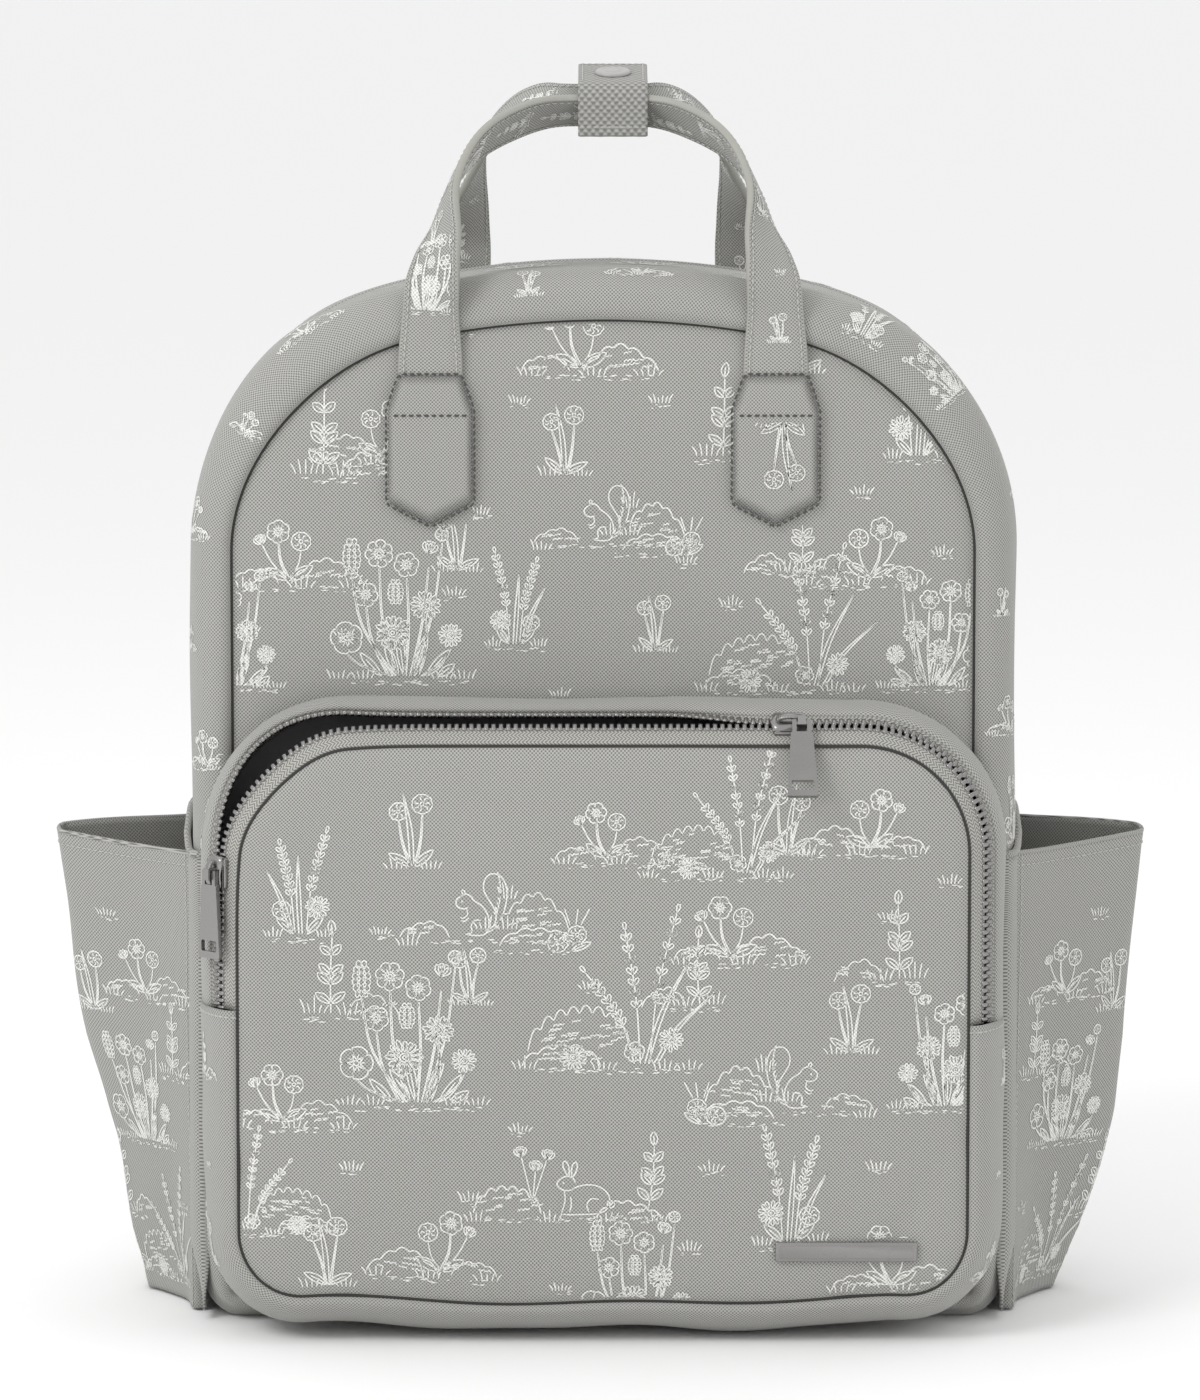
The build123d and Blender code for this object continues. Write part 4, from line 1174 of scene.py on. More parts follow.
def arch_strip(name, y0, y1, o, mat, thick=0.8):
    p = body_path.p[arch_idx]
    n = body_path.n[arch_idx]
    ys = np.linspace(y0, y1, 5)
    lift = np.array([0, 0.05, 0.08, 0.05, 0.0])
    o = o - top_drop(p[:, 1])
    P = np.stack([np.stack([p[:, 0] + n[:, 0] * (o + l), np.full(len(p), y), p[:, 1] + n[:, 1] * (o + l)], 1) for y, l in zip(ys, lift)], 1)
    U, V = np.meshgrid(body_path.s[arch_idx], ys, indexing="ij")
    ob = grid_obj(name, P, np.stack([U, V], -1), mat)
    return solidify(ob, thick)


t_front = arch_strip("main_tape_front", 26.5, 34.5, 1.9, tape_mat)
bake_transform(t_front)
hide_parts("main_zip_tape_front", "main_zip_front_ends")
t_rear = arch_strip("main_tape_rear", 37.5, 45.5, 1.9, tape_mat)
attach(t_rear, "body")
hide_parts("main_zip_tape_rear")
for row, sign in (("front", 1), ("rear", -1)):
    fr = []
    for i in arch_idx:
        p, n = body_path.p[i], body_path.n[i]
        p = p - n * float(top_drop(p[1]))
        t = body_path.t[i]
        fr.append((np.array([p[0] + n[0] * 1.5, 36.0 - sign * 2.1, p[1] + n[1] * 1.5]), np.array([t[0], 0, t[1]]), np.array([0, sign, 0.0]), np.array([n[0], 0, n[1]])))
    b = Build()
    for a in chain_rows(fr, 2.9, 0.3 if sign > 0 else 1.75):
        tooth(b, a[:3], unit(a[3:6]), unit(a[6:9]), unit(a[9:12]), reach=2.5)
    ob = b.obj(f"main_teeth_{row}", nickel_dark)
    if sign > 0:
        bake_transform(ob)
        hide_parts("main_zip_teeth_front")
    else:
        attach(ob, "body")
        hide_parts("main_zip_teeth_rear")

# ---------------------------------------------------------------- front pocket
POCKET = [(-144, 18.5), (-144, 134), (-144, 239), (144, 239), (144, 128), (144, 18.5)]
pocket_path = Path(rounded(POCKET, [27, 0, 43, 43, 0, 27], True, step=4.0, arc_step=2.0), True)
k1 = int(np.argmin(np.linalg.norm(pocket_path.p - np.array([-144, 134]), axis=1)))
pocket_path = Path(np.roll(pocket_path.p, -k1, 0), True)
k2 = int(np.argmin(np.linalg.norm(pocket_path.p - np.array([144, 128]), axis=1)))


def sag(x, z):
    """The pocket's lower edge droops and waves a little."""
    return (-1.6 * np.cos(x / 50.0) * smoothstep(90, 20, z) + 0.9 * np.sin(x / 17.0 + 1.0) * smoothstep(60, 15, z)) * smoothstep(140, 110, np.abs(x))


CORNER = (-131.4, 226.4)


def near_corner(x, z, r=30.0):
    return np.exp(-((np.asarray(x) - CORNER[0]) ** 2 + (np.asarray(z) - CORNER[1]) ** 2) / r**2)


def pocket_y(x, z):
    d = distance_to(pocket_path.p, x, z)
    crown = 2.6 * (1 - np.exp(-d / 3.4)) + 5.4 * (1 - np.exp(-d / 60.0))
    y = -116.0 - crown + wave(x, z, 0.8, 2) * smoothstep(8, 50, d)
    # the cloth pulls in under the slider, and creases softly by the lower corners
    y = y + 1.0 * np.exp(-(((x - 78) / 26.0) ** 2 + ((z - 236) / 10.0) ** 2))
    y = y + 0.9 * np.exp(-(((x + 118 + (z - 40) * 0.8) / 6.0) ** 2 + ((z - 50) / 34.0) ** 2)) + 0.9 * np.exp(-(((x - 112 - (z - 40) * 0.7) / 6.0) ** 2 + ((z - 48) / 34.0) ** 2))
    return y


face = dome("pocket_face", pocket_path, pocket_y, canvas, flip=True)
me = face.data
co = np.empty(len(me.vertices) * 3, np.float32)
me.vertices.foreach_get("co", co)
co = co.reshape(-1, 3)
pull_in = 5.6 * near_corner(co[:, 0] / MM, co[:, 2] / MM)
co[:, 2] += (sag(co[:, 0] / MM, co[:, 2] / MM) * MM - pull_in * SIN45 * MM).astype(np.float32)
co[:, 0] += (pull_in * SIN45 * MM).astype(np.float32)
me.vertices.foreach_set("co", co.ravel())
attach(face, "body")
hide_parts("pocket_face_panel")


def sag_P(P):
    """The pocket face's droop, and its unzipped corner falling inward."""
    P = P.copy()
    w = 5.6 * SIN45 * near_corner(P[..., 0], P[..., 2])
    P[..., 2] += sag(P[..., 0], P[..., 2]) - w
    P[..., 0] += w
    return P


# a dark tube along the pocket face's seam: painted shadow standing in for the shade in its crease
pc = np.stack([pocket_path.p[:, 0], np.full(len(pocket_path.p), -116.25), pocket_path.p[:, 1]], 1)
pocket_seam_shadow_tube = tube("pocket_seam_crease", sag_P(pc), 0.62, seam_shadow_paint, closed=True, sides=6)
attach(pocket_seam_shadow_tube, "body")

zip_range = np.arange(0, k2 + 1)
zp, zn, zt, zs = pocket_path.p[zip_range], pocket_path.n[zip_range], pocket_path.t[zip_range], pocket_path.s[zip_range]
# where the two rows are parted
s_left = float(np.interp(195, zp[: len(zp) // 3, 1], zs[: len(zp) // 3]))
top_run = np.where((np.abs(zp[:, 0]) < 101) & (zp[:, 1] > 238))[0]
s_right = float(np.interp(66.0, zp[top_run, 0], zs[top_run]))
part = smoothstep(s_left - 2, s_left + 52, zs) * (1 - smoothstep(s_right - 44, s_right + 2, zs))


def lerp2(a, b, w):
    a, b = np.asarray(a, float), np.asarray(b, float)
    return a[None] * (1 - w[:, None, None]) + b[None] * w[:, None, None]


def zip_surface(name, sections, mat, thick=None, flip=False, on_face=False):
    X = zp[:, None, 0] + zn[:, None, 0] * sections[..., 0]
    Z = zp[:, None, 1] + zn[:, None, 1] * sections[..., 0]
    P = np.stack([X, sections[..., 1], Z], -1)
    if on_face:
        P = sag_P(P)
    v = np.concatenate([[0], np.cumsum(np.linalg.norm(np.diff(sections, axis=1), axis=2).mean(0))])
    U, V = np.meshgrid(zs, v, indexing="ij")
    ob = grid_obj(name, P, np.stack([U, V], -1), mat, flip=flip)
    if thick:
        solidify(ob, thick)
    return ob, P, v


def along(s, n=0.0):
    return (SIN45 * (s + n), -116 + SIN45 * (s - n))


tape_sec = np.array([along(0.2, -0.3), along(0.9, 0.5), along(2.6, 0.75), along(5.0, 0.6), along(7.4, 0.35), along(8.9, 0.2)])
ft, _, _ = zip_surface("pocket_tape_front", np.repeat(tape_sec[None], len(zp), 0), tape_mat, 0.8, on_face=True)
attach(ft, "body")
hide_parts("pocket_zip_tape_front")

closed_t = [along(11.3, 0.2), along(12.4, 0.3), along(13.6, 0.35), along(15.6, 0.2)]
open_t = [(10.0, -97.6), (10.3, -96.2), (10.5, -94.4), (10.4, -91.6)]
gape = 2.4 * near_corner(zp[:, 0], zp[:, 1], 34.0) * part
tape_rear = lerp2(closed_t, open_t, part)
tape_rear[:, :, 0] += gape[:, None]
rt, _, _ = zip_surface("pocket_tape_rear", tape_rear, tape_mat, 0.8)
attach(rt, "body")
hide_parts("pocket_zip_tape_rear")

closed_g = section([(10.7, -106.0), (11.6, -105.8), (14.0, -100.6), (15.4, -93), (15.4, -85), (14.0, -77), (12.4, -72.6), (11.4, -70.2)], 16)
open_g = section([(10.7, -92.8), (11.7, -93.0), (13.6, -90.6), (15.2, -86.5), (15.4, -81.5), (14.2, -76), (12.4, -72.4), (11.4, -70.2)], 16)
upper_sec = lerp2(closed_g, open_g, part)
upper_sec[:, :, 0] += gape[:, None] * np.linspace(1, 0, upper_sec.shape[1])[None]
upper_sec[:, :, 0] += 0.5 * np.sin(zs / 19.0)[:, None] * np.sin(np.linspace(0, math.pi, upper_sec.shape[1]))[None]
ug, ugP, ugv = zip_surface("pocket_gusset_top", upper_sec, canvas, 1.0)
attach(ug, "body")
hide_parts("pocket_gusset_upper")
map_upper = Mapped(ugP, zs, ugv)

for row, sign in (("front", 1), ("rear", -1)):
    fr = []
    for i in range(len(zp)):
        w = part[i]
        if sign > 0:
            o, y = along(8.2, 0.0)
            ao, ay = SIN45, SIN45
            no, ny = SIN45, -SIN45
        else:
            c0, c1 = np.array(along(12.1, 0.0)), np.array((10.1, -96.4))
            o, y = c0 * (1 - w) + c1 * w
            a0, a1 = np.array([-SIN45, -SIN45]), np.array([-0.10, -0.995])
            ao, ay = unit(a0 * (1 - w) + a1 * w)
            no, ny = -ay, ao
            o = o + gape[i]
        n2, t2 = zn[i], zt[i]
        at = np.array([zp[i, 0] + n2[0] * o, y, zp[i, 1] + n2[1] * o])
        if sign > 0:
            at = sag_P(at)
        fr.append((at, np.array([t2[0], 0, t2[1]]), np.array([n2[0] * ao, ay, n2[1] * ao]), np.array([n2[0] * no, ny, n2[1] * no])))
    b = Build()
    for a in chain_rows(fr, 2.9, 0.3 if sign > 0 else 1.75):
        tooth(b, a[:3], unit(a[3:6]), unit(a[6:9]), unit(a[9:12]), reach=2.5)
    ob = b.obj(f"pocket_teeth_{row}", nickel)
    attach(ob, "body")
    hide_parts(f"pocket_zip_teeth_{row}")

# lower gusset, from the right zip end round under the face to the left one
low_range = np.concatenate([np.arange(k2, len(pocket_path.p)), [0]])
lp, ln = pocket_path.p[low_range], pocket_path.n[low_range]
ls = np.concatenate([pocket_path.s[k2:], [pocket_path.length]]) - pocket_path.s[k2]
lsec = section([(0.0, -115.6), (0.5, -117.2), (3.0, -117.4), (7.6, -113.4), (12.2, -105), (14.9, -95), (15.2, -86), (13.6, -77), (12.0, -72.4), (11.2, -70.2)], 22)
Lsec = np.repeat(lsec[None], len(lp), 0)
Lsec[:, :, 0] += (0.7 * np.sin(ls / 23.0) + 0.4 * np.sin(ls / 9.5))[:, None] * np.sin(np.linspace(0, math.pi, lsec.shape[0]))[None]
lowest = 18.5 - 15.6
P = np.stack([lp[:, None, 0] + ln[:, None, 0] * Lsec[..., 0], Lsec[..., 1], lp[:, None, 1] + ln[:, None, 1] * Lsec[..., 0]], -1)
P = sag_P(P)
P[..., 2] = np.maximum(P[..., 2], 0.6)
lv = np.concatenate([[0], np.cumsum(np.linalg.norm(np.diff(lsec, axis=0), axis=1))])
U, V = np.meshgrid(ls, lv, indexing="ij")
lg = grid_obj("pocket_gusset_bottom", P, np.stack([U, V], -1), canvas)
solidify(lg, 1.4)
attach(lg, "body")
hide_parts("pocket_gusset_lower", "pocket_zip_end_tabs")
map_lower = Mapped(P, ls, lv)
b = Build()
for end, k in ((0, 1), (-1, -2)):
    line = P[end] * 0.0 + P[end]
    inward = unit((P[k] - P[end]).mean(0))
    N = grid_normals(P)[end]
    stitches(b, line[1:15] + inward * 2.6, N[1:15], step=3.0)
st = b.obj("pocket_end_stitches", thread_mat)
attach(st, "body")

# lining of the pocket and of the main compartment
inner = Path(pocket_path.off(-2.2), True)
lin_f = dome("pocket_lining_front", inner, lambda x, z: np.full(np.shape(x), -114.6) + wave(x, z, 0.6, 5), lining_mat, rings=[0, 2, 6, 12, 20])
lin_b = dome("pocket_lining_back", Path(pocket_path.off(8.5), True), lambda x, z: np.full(np.shape(x), -76.4) + wave(x, z, 0.6, 6), lining_mat, rings=[0, 2, 6, 12, 20], flip=True)
for o in (lin_f, lin_b):
    me = o.data
    co = np.empty(len(me.vertices) * 3, np.float32)
    me.vertices.foreach_get("co", co)
    co = co.reshape(-1, 3) / MM
    if o is lin_f:
        co = sag_P(co.astype(float))
    co[:, 2] = np.maximum(co[:, 2], 6.0)
    me.vertices.foreach_set("co", (co * MM).astype(np.float32).ravel())
    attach(o, "body")
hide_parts("pocket_lining")
ring_f, ring_r = [], []
for (px, pz), (nx, nz) in zip(body_path.p, body_path.n):
    si = float(seam_inset(pz))
    g = float(body_lift(pz))
    drop = float(top_drop(pz))
    pucker = 0.9 * math.sin(pz / 13.0 + px / 19.0) * g
    f = [(-si - 3.0, -66.3), (-si - 1.0, -65.6), (-4.2 - 2.0 * (1 - g), -61.0), (-3.2 + pucker - drop, -42.0), (-2.6 - pucker - drop, -18.0), (-3.0 + pucker * 0.6 - drop, 6.0), (-1.6 - drop, 26.2)]
    ring_f.append(section(f, 18))
    r = [(-1.6 - drop, 45.4), (-2.8 - drop, 49.5), (-3.6 + pucker * 0.5 - drop, 55.0), (-6.4 - drop, 60.6), (-12.5, 61.9)]
    ring_r.append(section(r, 11))
lin_ring_f, _m, _u, _v = closed_surface("lining_front_wall", body_path, np.array(ring_f), lining_mat, flip=True)
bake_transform(lin_ring_f)
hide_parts("flap_lining")
lin_ring_r, _m, _u, _v = closed_surface("lining_rear_wall", body_path, np.array(ring_r), lining_mat, flip=True)
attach(lin_ring_r, "body")
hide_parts("main_lining")
Lm = []
for i in order:
    sec = np.array([(-1.6, 26.2), (-2.4, 31.0), (-2.6, 36.0), (-2.4, 41.0), (-1.6, 45.4)])
    Lm.append(np.stack([body_path.p[i, 0] + body_path.n[i, 0] * sec[:, 0], sec[:, 1], body_path.p[i, 1] + body_path.n[i, 1] * sec[:, 0]], -1))
lin_mid = grid_obj("lining_middle_wall", np.array(Lm), np.stack([Um, Vm], -1), lining_mat, flip=True)
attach(lin_mid, "body")
lin_sf = dome("lining_front_sheet", Path(front_seam.off(-2.6), True), lambda x, z: np.full(np.shape(x), -66.3) + wave(x, z, 0.5, 7), lining_mat)
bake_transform(lin_sf)
lin_sb = dome("lining_back_sheet", Path(back_seam.off(-2.2), True), lambda x, z: np.full(np.shape(x), 61.9) + wave(x, z, 0.3, 8), lining_mat, flip=True)
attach(lin_sb, "body")
nodes["base_board"].data.materials.clear()
nodes["base_board"].data.materials.append(board_mat)


def dress(ob, *mats):
    """Gives a carried-over CAD node its finish."""
    ob.data.materials.clear()
    for m in mats:
        ob.data.materials.append(m)


def edge_line(P_line, N_line, name, mat, body, r=0.3, step=3.0, length=2.2, lift=0.15):
    b = Build()
    stitches(b, P_line, N_line, step=step, length=length, r=r, lift=lift)
    ob = b.obj(name, mat)
    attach(ob, body)
    return ob


# ---------------------------------------------------------------- sliders and pulls
for n in ("main_slider", "main_pull", "pocket_slider_left", "pocket_pull_left", "pocket_slider_right", "pocket_pull_right"):
    dress(nodes[n], nickel)
dress(nodes["main_zip_end_stops"], nickel_dark)


def rounded_box(build, c, ex, ey, ez, sx, sy, sz, r=0.5, n=3):
    """A box with rounded edges, half sizes sx, sy, sz along the unit vectors ex, ey, ez."""
    c, ex, ey, ez = (np.asarray(q, float) for q in (c, ex, ey, ez))
    prof = []
    for cx, cy, a0 in ((1, 1, 0), (-1, 1, 90), (-1, -1, 180), (1, -1, 270)):
        for k in range(n + 1):
            a = math.radians(a0 + 90 * k / n)
            prof.append((cx * (sx - r) + r * math.cos(a), cy * (sy - r) + r * math.sin(a)))
    prof = np.array(prof)
    m = len(prof)
    V, F = [], []
    levels = [(-sz, -r * 0.6), (-sz + r * 0.35, -r * 0.15), (-sz + r, 0), (sz - r, 0), (sz - r * 0.35, -r * 0.15), (sz, -r * 0.6)]
    for z, inset in levels:
        k = np.array([(sx + inset) / sx, (sy + inset) / sy])
        for p in prof * k:
            V.append(c + ex * p[0] + ey * p[1] + ez * z)
    for i in range(len(levels) - 1):
        for j in range(m):
            F.append((i * m + j, i * m + (j + 1) % m, (i + 1) * m + (j + 1) % m, (i + 1) * m + j))
    F.append(tuple(reversed(range(m))))
    F.append(tuple((len(levels) - 1) * m + j for j in range(m)))
    build.add(V, F)


def slider_dress(name, body, centre, chain, out, wide):
    """The domed upper body, the rails and the bridge over a slider's plate."""
    c, t, n = (np.asarray(q, float) for q in (centre, chain, out))
    s = np.cross(t, n)
    b = Build()
    # waisted body, wider at the mouth where the rows part
    U, W = 15, 11
    P = np.zeros((U, W, 3))
    for i, u in enumerate(np.linspace(-1, 1, U)):
        half = 4.7 + 1.1 * smoothstep(0.0, 1.0, u * wide) - 0.55 * math.exp(-((u * wide + 0.15) / 0.3) ** 2)
        half *= math.sqrt(max(0.0, 1 - abs(u) ** 7)) * 0.98 + 0.02
        for j, w in enumerate(np.linspace(-1, 1, W)):
            h = 3.35 * (1 - abs(w) ** 6) ** 0.5 * (1 - 0.25 * abs(u) ** 4) + 0.35 * (1 - w * w)
            if abs(w) > 0.99:
                h = 0.9
            P[i, j] = c + t * u * 7.2 + s * w * half + n * h
    b.add(P.reshape(-1, 3), grid_faces(U, W))
    # side flanges that turn down over the teeth
    for sd in (-1, 1):
        rounded_box(b, c + s * sd * 4.9 + n * 0.9, t, n, s, 5.6, 1.3, 0.45, 0.35, 2)
    # bridge that holds the pull
    L = []
    for a in np.linspace(0, math.pi, 13):
        L.append(c + t * (-math.cos(a) * 4.6) + n * (3.0 + 3.3 * math.sin(a) ** 0.7))
    L = np.array(L)
    for i in range(len(L) - 1):
        m = (L[i] + L[i + 1]) / 2
        d = unit(L[i + 1] - L[i])
        rounded_box(b, m, s, np.cross(d, s), d, 1.15, 0.75, np.linalg.norm(L[i + 1] - L[i]) / 2 + 0.18, 0.35, 2)
    ob = b.obj(name + "_shell", nickel)
    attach(ob, body)
    return ob


slider_dress("slider_left", "pocket_slider_left", (-151.07, -108.93, 188), (0, 0, 1), (-SIN45, -SIN45, 0), 1)
slider_dress("slider_right", "pocket_slider_right", (73, -108.93, 246.07), (1, 0, 0), (0, -SIN45, SIN45), -1)
slider_dress("slider_main", "main_slider", (158.5, 36, 226), (0, 0, 1), (1, 0, 0), 1)


# ---------------------------------------------------------------- side pockets
SIDE_OUT = [(0, 186), (25, 196), (48, 203), (74, 210), (105, 214.5), (147, 218), (187, 221.5), (190, 222)]


def side_out(side, z):
    zs_, xs_ = zip(*SIDE_OUT)
    x = np.interp(z, zs_, xs_)
    if side < 0:
        x = x + 2.0 * smoothstep(150, 190, z) - 6.0 * np.exp(-((z - 70) / 38.0) ** 2) + 2.0 * smoothstep(14, 0, z)
    return x


side_maps = {}
for side, nm in ((-1, "left"), (1, "right")):
    zz = np.concatenate([[1.0, 3.0, 6.0, 10.0], np.linspace(16, 186, 35), [189.0, 191.2]])
    nw = 61
    P = np.zeros((len(zz), nw, 3))
    for i, z in enumerate(zz):
        half = 50.0 + 8.0 * z / 190.0
        xo = side_out(side, z)
        tip = 10.5
        base = np.array([(161.0, half), (163.5, half + 0.6), (167.0, half - 0.6), ((161 + xo) / 2 - 4, (half + tip) / 2 + 2.0), (xo - 5.0, tip + 1.8), (xo - 1.0, tip - 2.2), (xo, 4.0), (xo + 0.3, 0.0)])
        full = np.vstack([base, base[-2::-1] * np.array([1, -1])])
        c = section([tuple(q) for q in full], nw)
        w = np.linspace(-1, 1, nw)
        lobe = np.cos(w * math.pi / 2 * 0.98)
        bulge = 2.2 * np.sin(w * math.pi * 1.0 + 0.6) * np.sin(z / 44.0 + 0.5) + 0.9 * np.sin(w * 7.0 + z / 23.0)
        c = c.copy()
        c[:, 0] += bulge * lobe * smoothstep(6, 60, z) * (1 - 0.45 * smoothstep(150, 190, z)) * np.sign(side) * 0.8
        c[:, 1] += 1.2 * np.sin(z / 37.0 + 2 * w) * smoothstep(6, 50, z) * lobe
        zi = z + 1.6 * np.sin(w * 3.3 + 0.8) * smoothstep(150, 190, z) - 1.0 * smoothstep(160, 190, z)
        c[:, 0] = np.clip(c[:, 0], 160.95, None)
        P[i] = np.stack([c[:, 0] * side, -c[:, 1], zi], 1)
    seg = np.linalg.norm(np.diff(P, axis=1), axis=2).mean(0)
    wv = np.concatenate([[0], np.cumsum(seg)])
    U, V = np.meshgrid(zz, wv, indexing="ij")
    ob = grid_obj(f"side_pocket_cloth_{nm}", P, np.stack([V, U], -1), canvas, flip=(side > 0))
    solidify(ob, 1.4)
    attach(ob, "body")
    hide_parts(f"side_pocket_{nm}")
    side_maps[nm] = (Mapped(P.transpose(1, 0, 2), wv, zz, sign=1.0 if side > 0 else -1.0), wv[-1])
    # a row of stitching along the hem at the mouth, and a line of stitching down each side edge
    hem = np.stack([P[-1], P[-1] - (P[-1] - P[-3]) * 0.0], 0)
    N = grid_normals(P)
    if ((N[20, 10] * np.array([side, 0, 0])).sum()) < 0:
        N = -N
    b = Build()
    for row in (4.2,):
        k = np.array([np.interp(190 - row, zz, np.arange(len(zz)))])[0]
        i0 = int(k)
        f = k - i0
        line = P[i0] * (1 - f) + P[min(i0 + 1, len(zz) - 1)] * f
        stitches(b, line[1:-1], N[i0][1:-1], step=3.1, length=2.1, r=0.3, lift=0.16)
    for wcol in (3, nw - 4):
        stitches(b, P[1:-1, wcol], N[1:-1, wcol], step=3.1, length=2.1, r=0.3, lift=0.16)
    st = b.obj(f"side_pocket_stitches_{nm}", thread_mat)
    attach(st, "body")
    # rolled lip that closes the hem
    lip = tube(f"side_pocket_lip_{nm}", P[-1] + np.array([-0.75 * side, 0, -0.2]), 0.95, canvas, sides=8)
    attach(lip, "body")
    # backing with a bound top edge
    bz = np.linspace(4, 204.5, 40)
    by = np.concatenate([[-68.5, -67.6, -66.2, -64.0], np.linspace(-61, 58, 26)])
    BY, BZ = np.meshgrid(by, bz, indexing="ij")
    # it lies on the gusset's own swell, and its top dips where it wraps round to the front seam
    swell = np.interp(BY, [-68.5, -67.6, -66.2, -64, -60, -47, -25, 0, 17, 36, 51, 59], [-3.2, 0.6, 1.9, 3.0, 4.3, 5.8, 5.6, 4.4, 3.3, 3.1, 4.2, 4.6])
    BX = 160.7 + (swell + 0.55) * body_lift(BZ) + 0.25 * np.sin(BZ / 19.0) * np.cos(BY / 31.0)
    dip = (5.0 * smoothstep(30, 58, BY) + 15.0 * smoothstep(-20, -68, BY)) * smoothstep(150, 204, BZ)
    Pb = np.stack([side * BX, BY, BZ - dip], -1)
    bk = grid_obj(f"side_backing_cloth_{nm}", Pb, np.stack([BY, BZ], -1), canvas, flip=(side < 0))
    solidify(bk, 0.9, offset=1.0)
    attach(bk, "body")
    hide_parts(f"side_pocket_backing_{nm}")
    pipe = np.vstack([Pb[:, -1], Pb[-1, -14:][::-1]])
    tb = tube(f"side_backing_piping_{nm}", pipe + np.array([side * 0.7, 0, 0]), 1.5, canvas, sides=9)
    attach(tb, "body")

# ---------------------------------------------------------------- handles
def catmull3(rows, per=9):
    p = np.asarray(rows, float)
    e = np.vstack([2 * p[0] - p[1], p, 2 * p[-1] - p[-2]])
    # centripetal knots keep the curve from overshooting at close stations
    out = []
    for i in range(1, len(e) - 2):
        P0, P1, P2, P3 = e[i - 1], e[i], e[i + 1], e[i + 2]
        t0 = 0.0
        t1 = t0 + max(np.linalg.norm((P1 - P0)[:3]), 1e-3) ** 0.5
        t2 = t1 + max(np.linalg.norm((P2 - P1)[:3]), 1e-3) ** 0.5
        t3 = t2 + max(np.linalg.norm((P3 - P2)[:3]), 1e-3) ** 0.5
        for t in np.linspace(t1, t2, per, endpoint=False):
            A1 = (t1 - t) / (t1 - t0) * P0 + (t - t0) / (t1 - t0) * P1
            A2 = (t2 - t) / (t2 - t1) * P1 + (t - t1) / (t2 - t1) * P2
            A3 = (t3 - t) / (t3 - t2) * P2 + (t - t2) / (t3 - t2) * P3
            B1 = (t2 - t) / (t2 - t0) * A1 + (t - t0) / (t2 - t0) * A2
            B2 = (t3 - t) / (t3 - t1) * A2 + (t - t1) / (t3 - t1) * A3
            out.append((t2 - t) / (t2 - t1) * B1 + (t - t1) / (t2 - t1) * B2)
    out.append(p[-1])
    return np.array(out)


FRONT_HALF = [
    ((68.5, -74.0, 381), (-1, 0, 0)), ((68.2, -74.6, 404), (-1, -0.02, 0)), ((67.4, -76.4, 418), (-0.97, -0.25, 0)),
    ((66, -72.5, 428), (-0.8, -0.6, 0)), ((63.5, -63, 440), (-0.42, -0.9, 0)), ((60, -51, 456), (-0.1, -1, 0.1)),
    ((51, -38, 470.5), (0, -0.92, 0.35)), ((37, -23, 479.6), (0, -0.85, 0.50)), ((20, -12.2, 484.6), (0, -0.85, 0.50)), ((0, -11.8, 484.9), (0, -0.85, 0.50)),
]
REAR_HALF = [
    ((58, 71.9, 395), (-1, 0, 0)), ((58, 71.9, 419), (-1, 0, 0)), ((57, 69, 436), (-0.8, 0.6, 0)), ((55, 58.5, 452), (-0.35, 0.93, 0)),
    ((50.5, 46, 465), (0, 1, 0.15)), ((42, 32, 475.5), (0, 0.92, 0.35)), ((31, 18, 482.8), (0, 0.82, 0.55)), ((20, 8.4, 486.6), (0, 0.75, 0.66)), ((0, 8, 487), (0, 0.75, 0.66)),
]


def whole(half):
    """Both halves of a handle: rows of centre and edge vector, right end to left end."""
    rows = [np.concatenate([p, e]) for p, e in half]
    left = [np.concatenate([[-p[0], p[1], p[2]], [-e[0], e[1], e[2]]]) for p, e in half[:-1]][::-1]
    return np.array(rows + left)


def strap_frames(rows, per=9):
    """Smooth centre line with unit edge and thickness vectors."""
    rows = catmull3(rows, per)
    c = rows[:, :3]
    t = np.gradient(c, axis=0)
    t /= np.linalg.norm(t, axis=1, keepdims=True)
    e = rows[:, 3:]
    e = e - (e * t).sum(1, keepdims=True) * t
    e /= np.linalg.norm(e, axis=1, keepdims=True)
    n = np.cross(t, e)
    return c, t, e, n


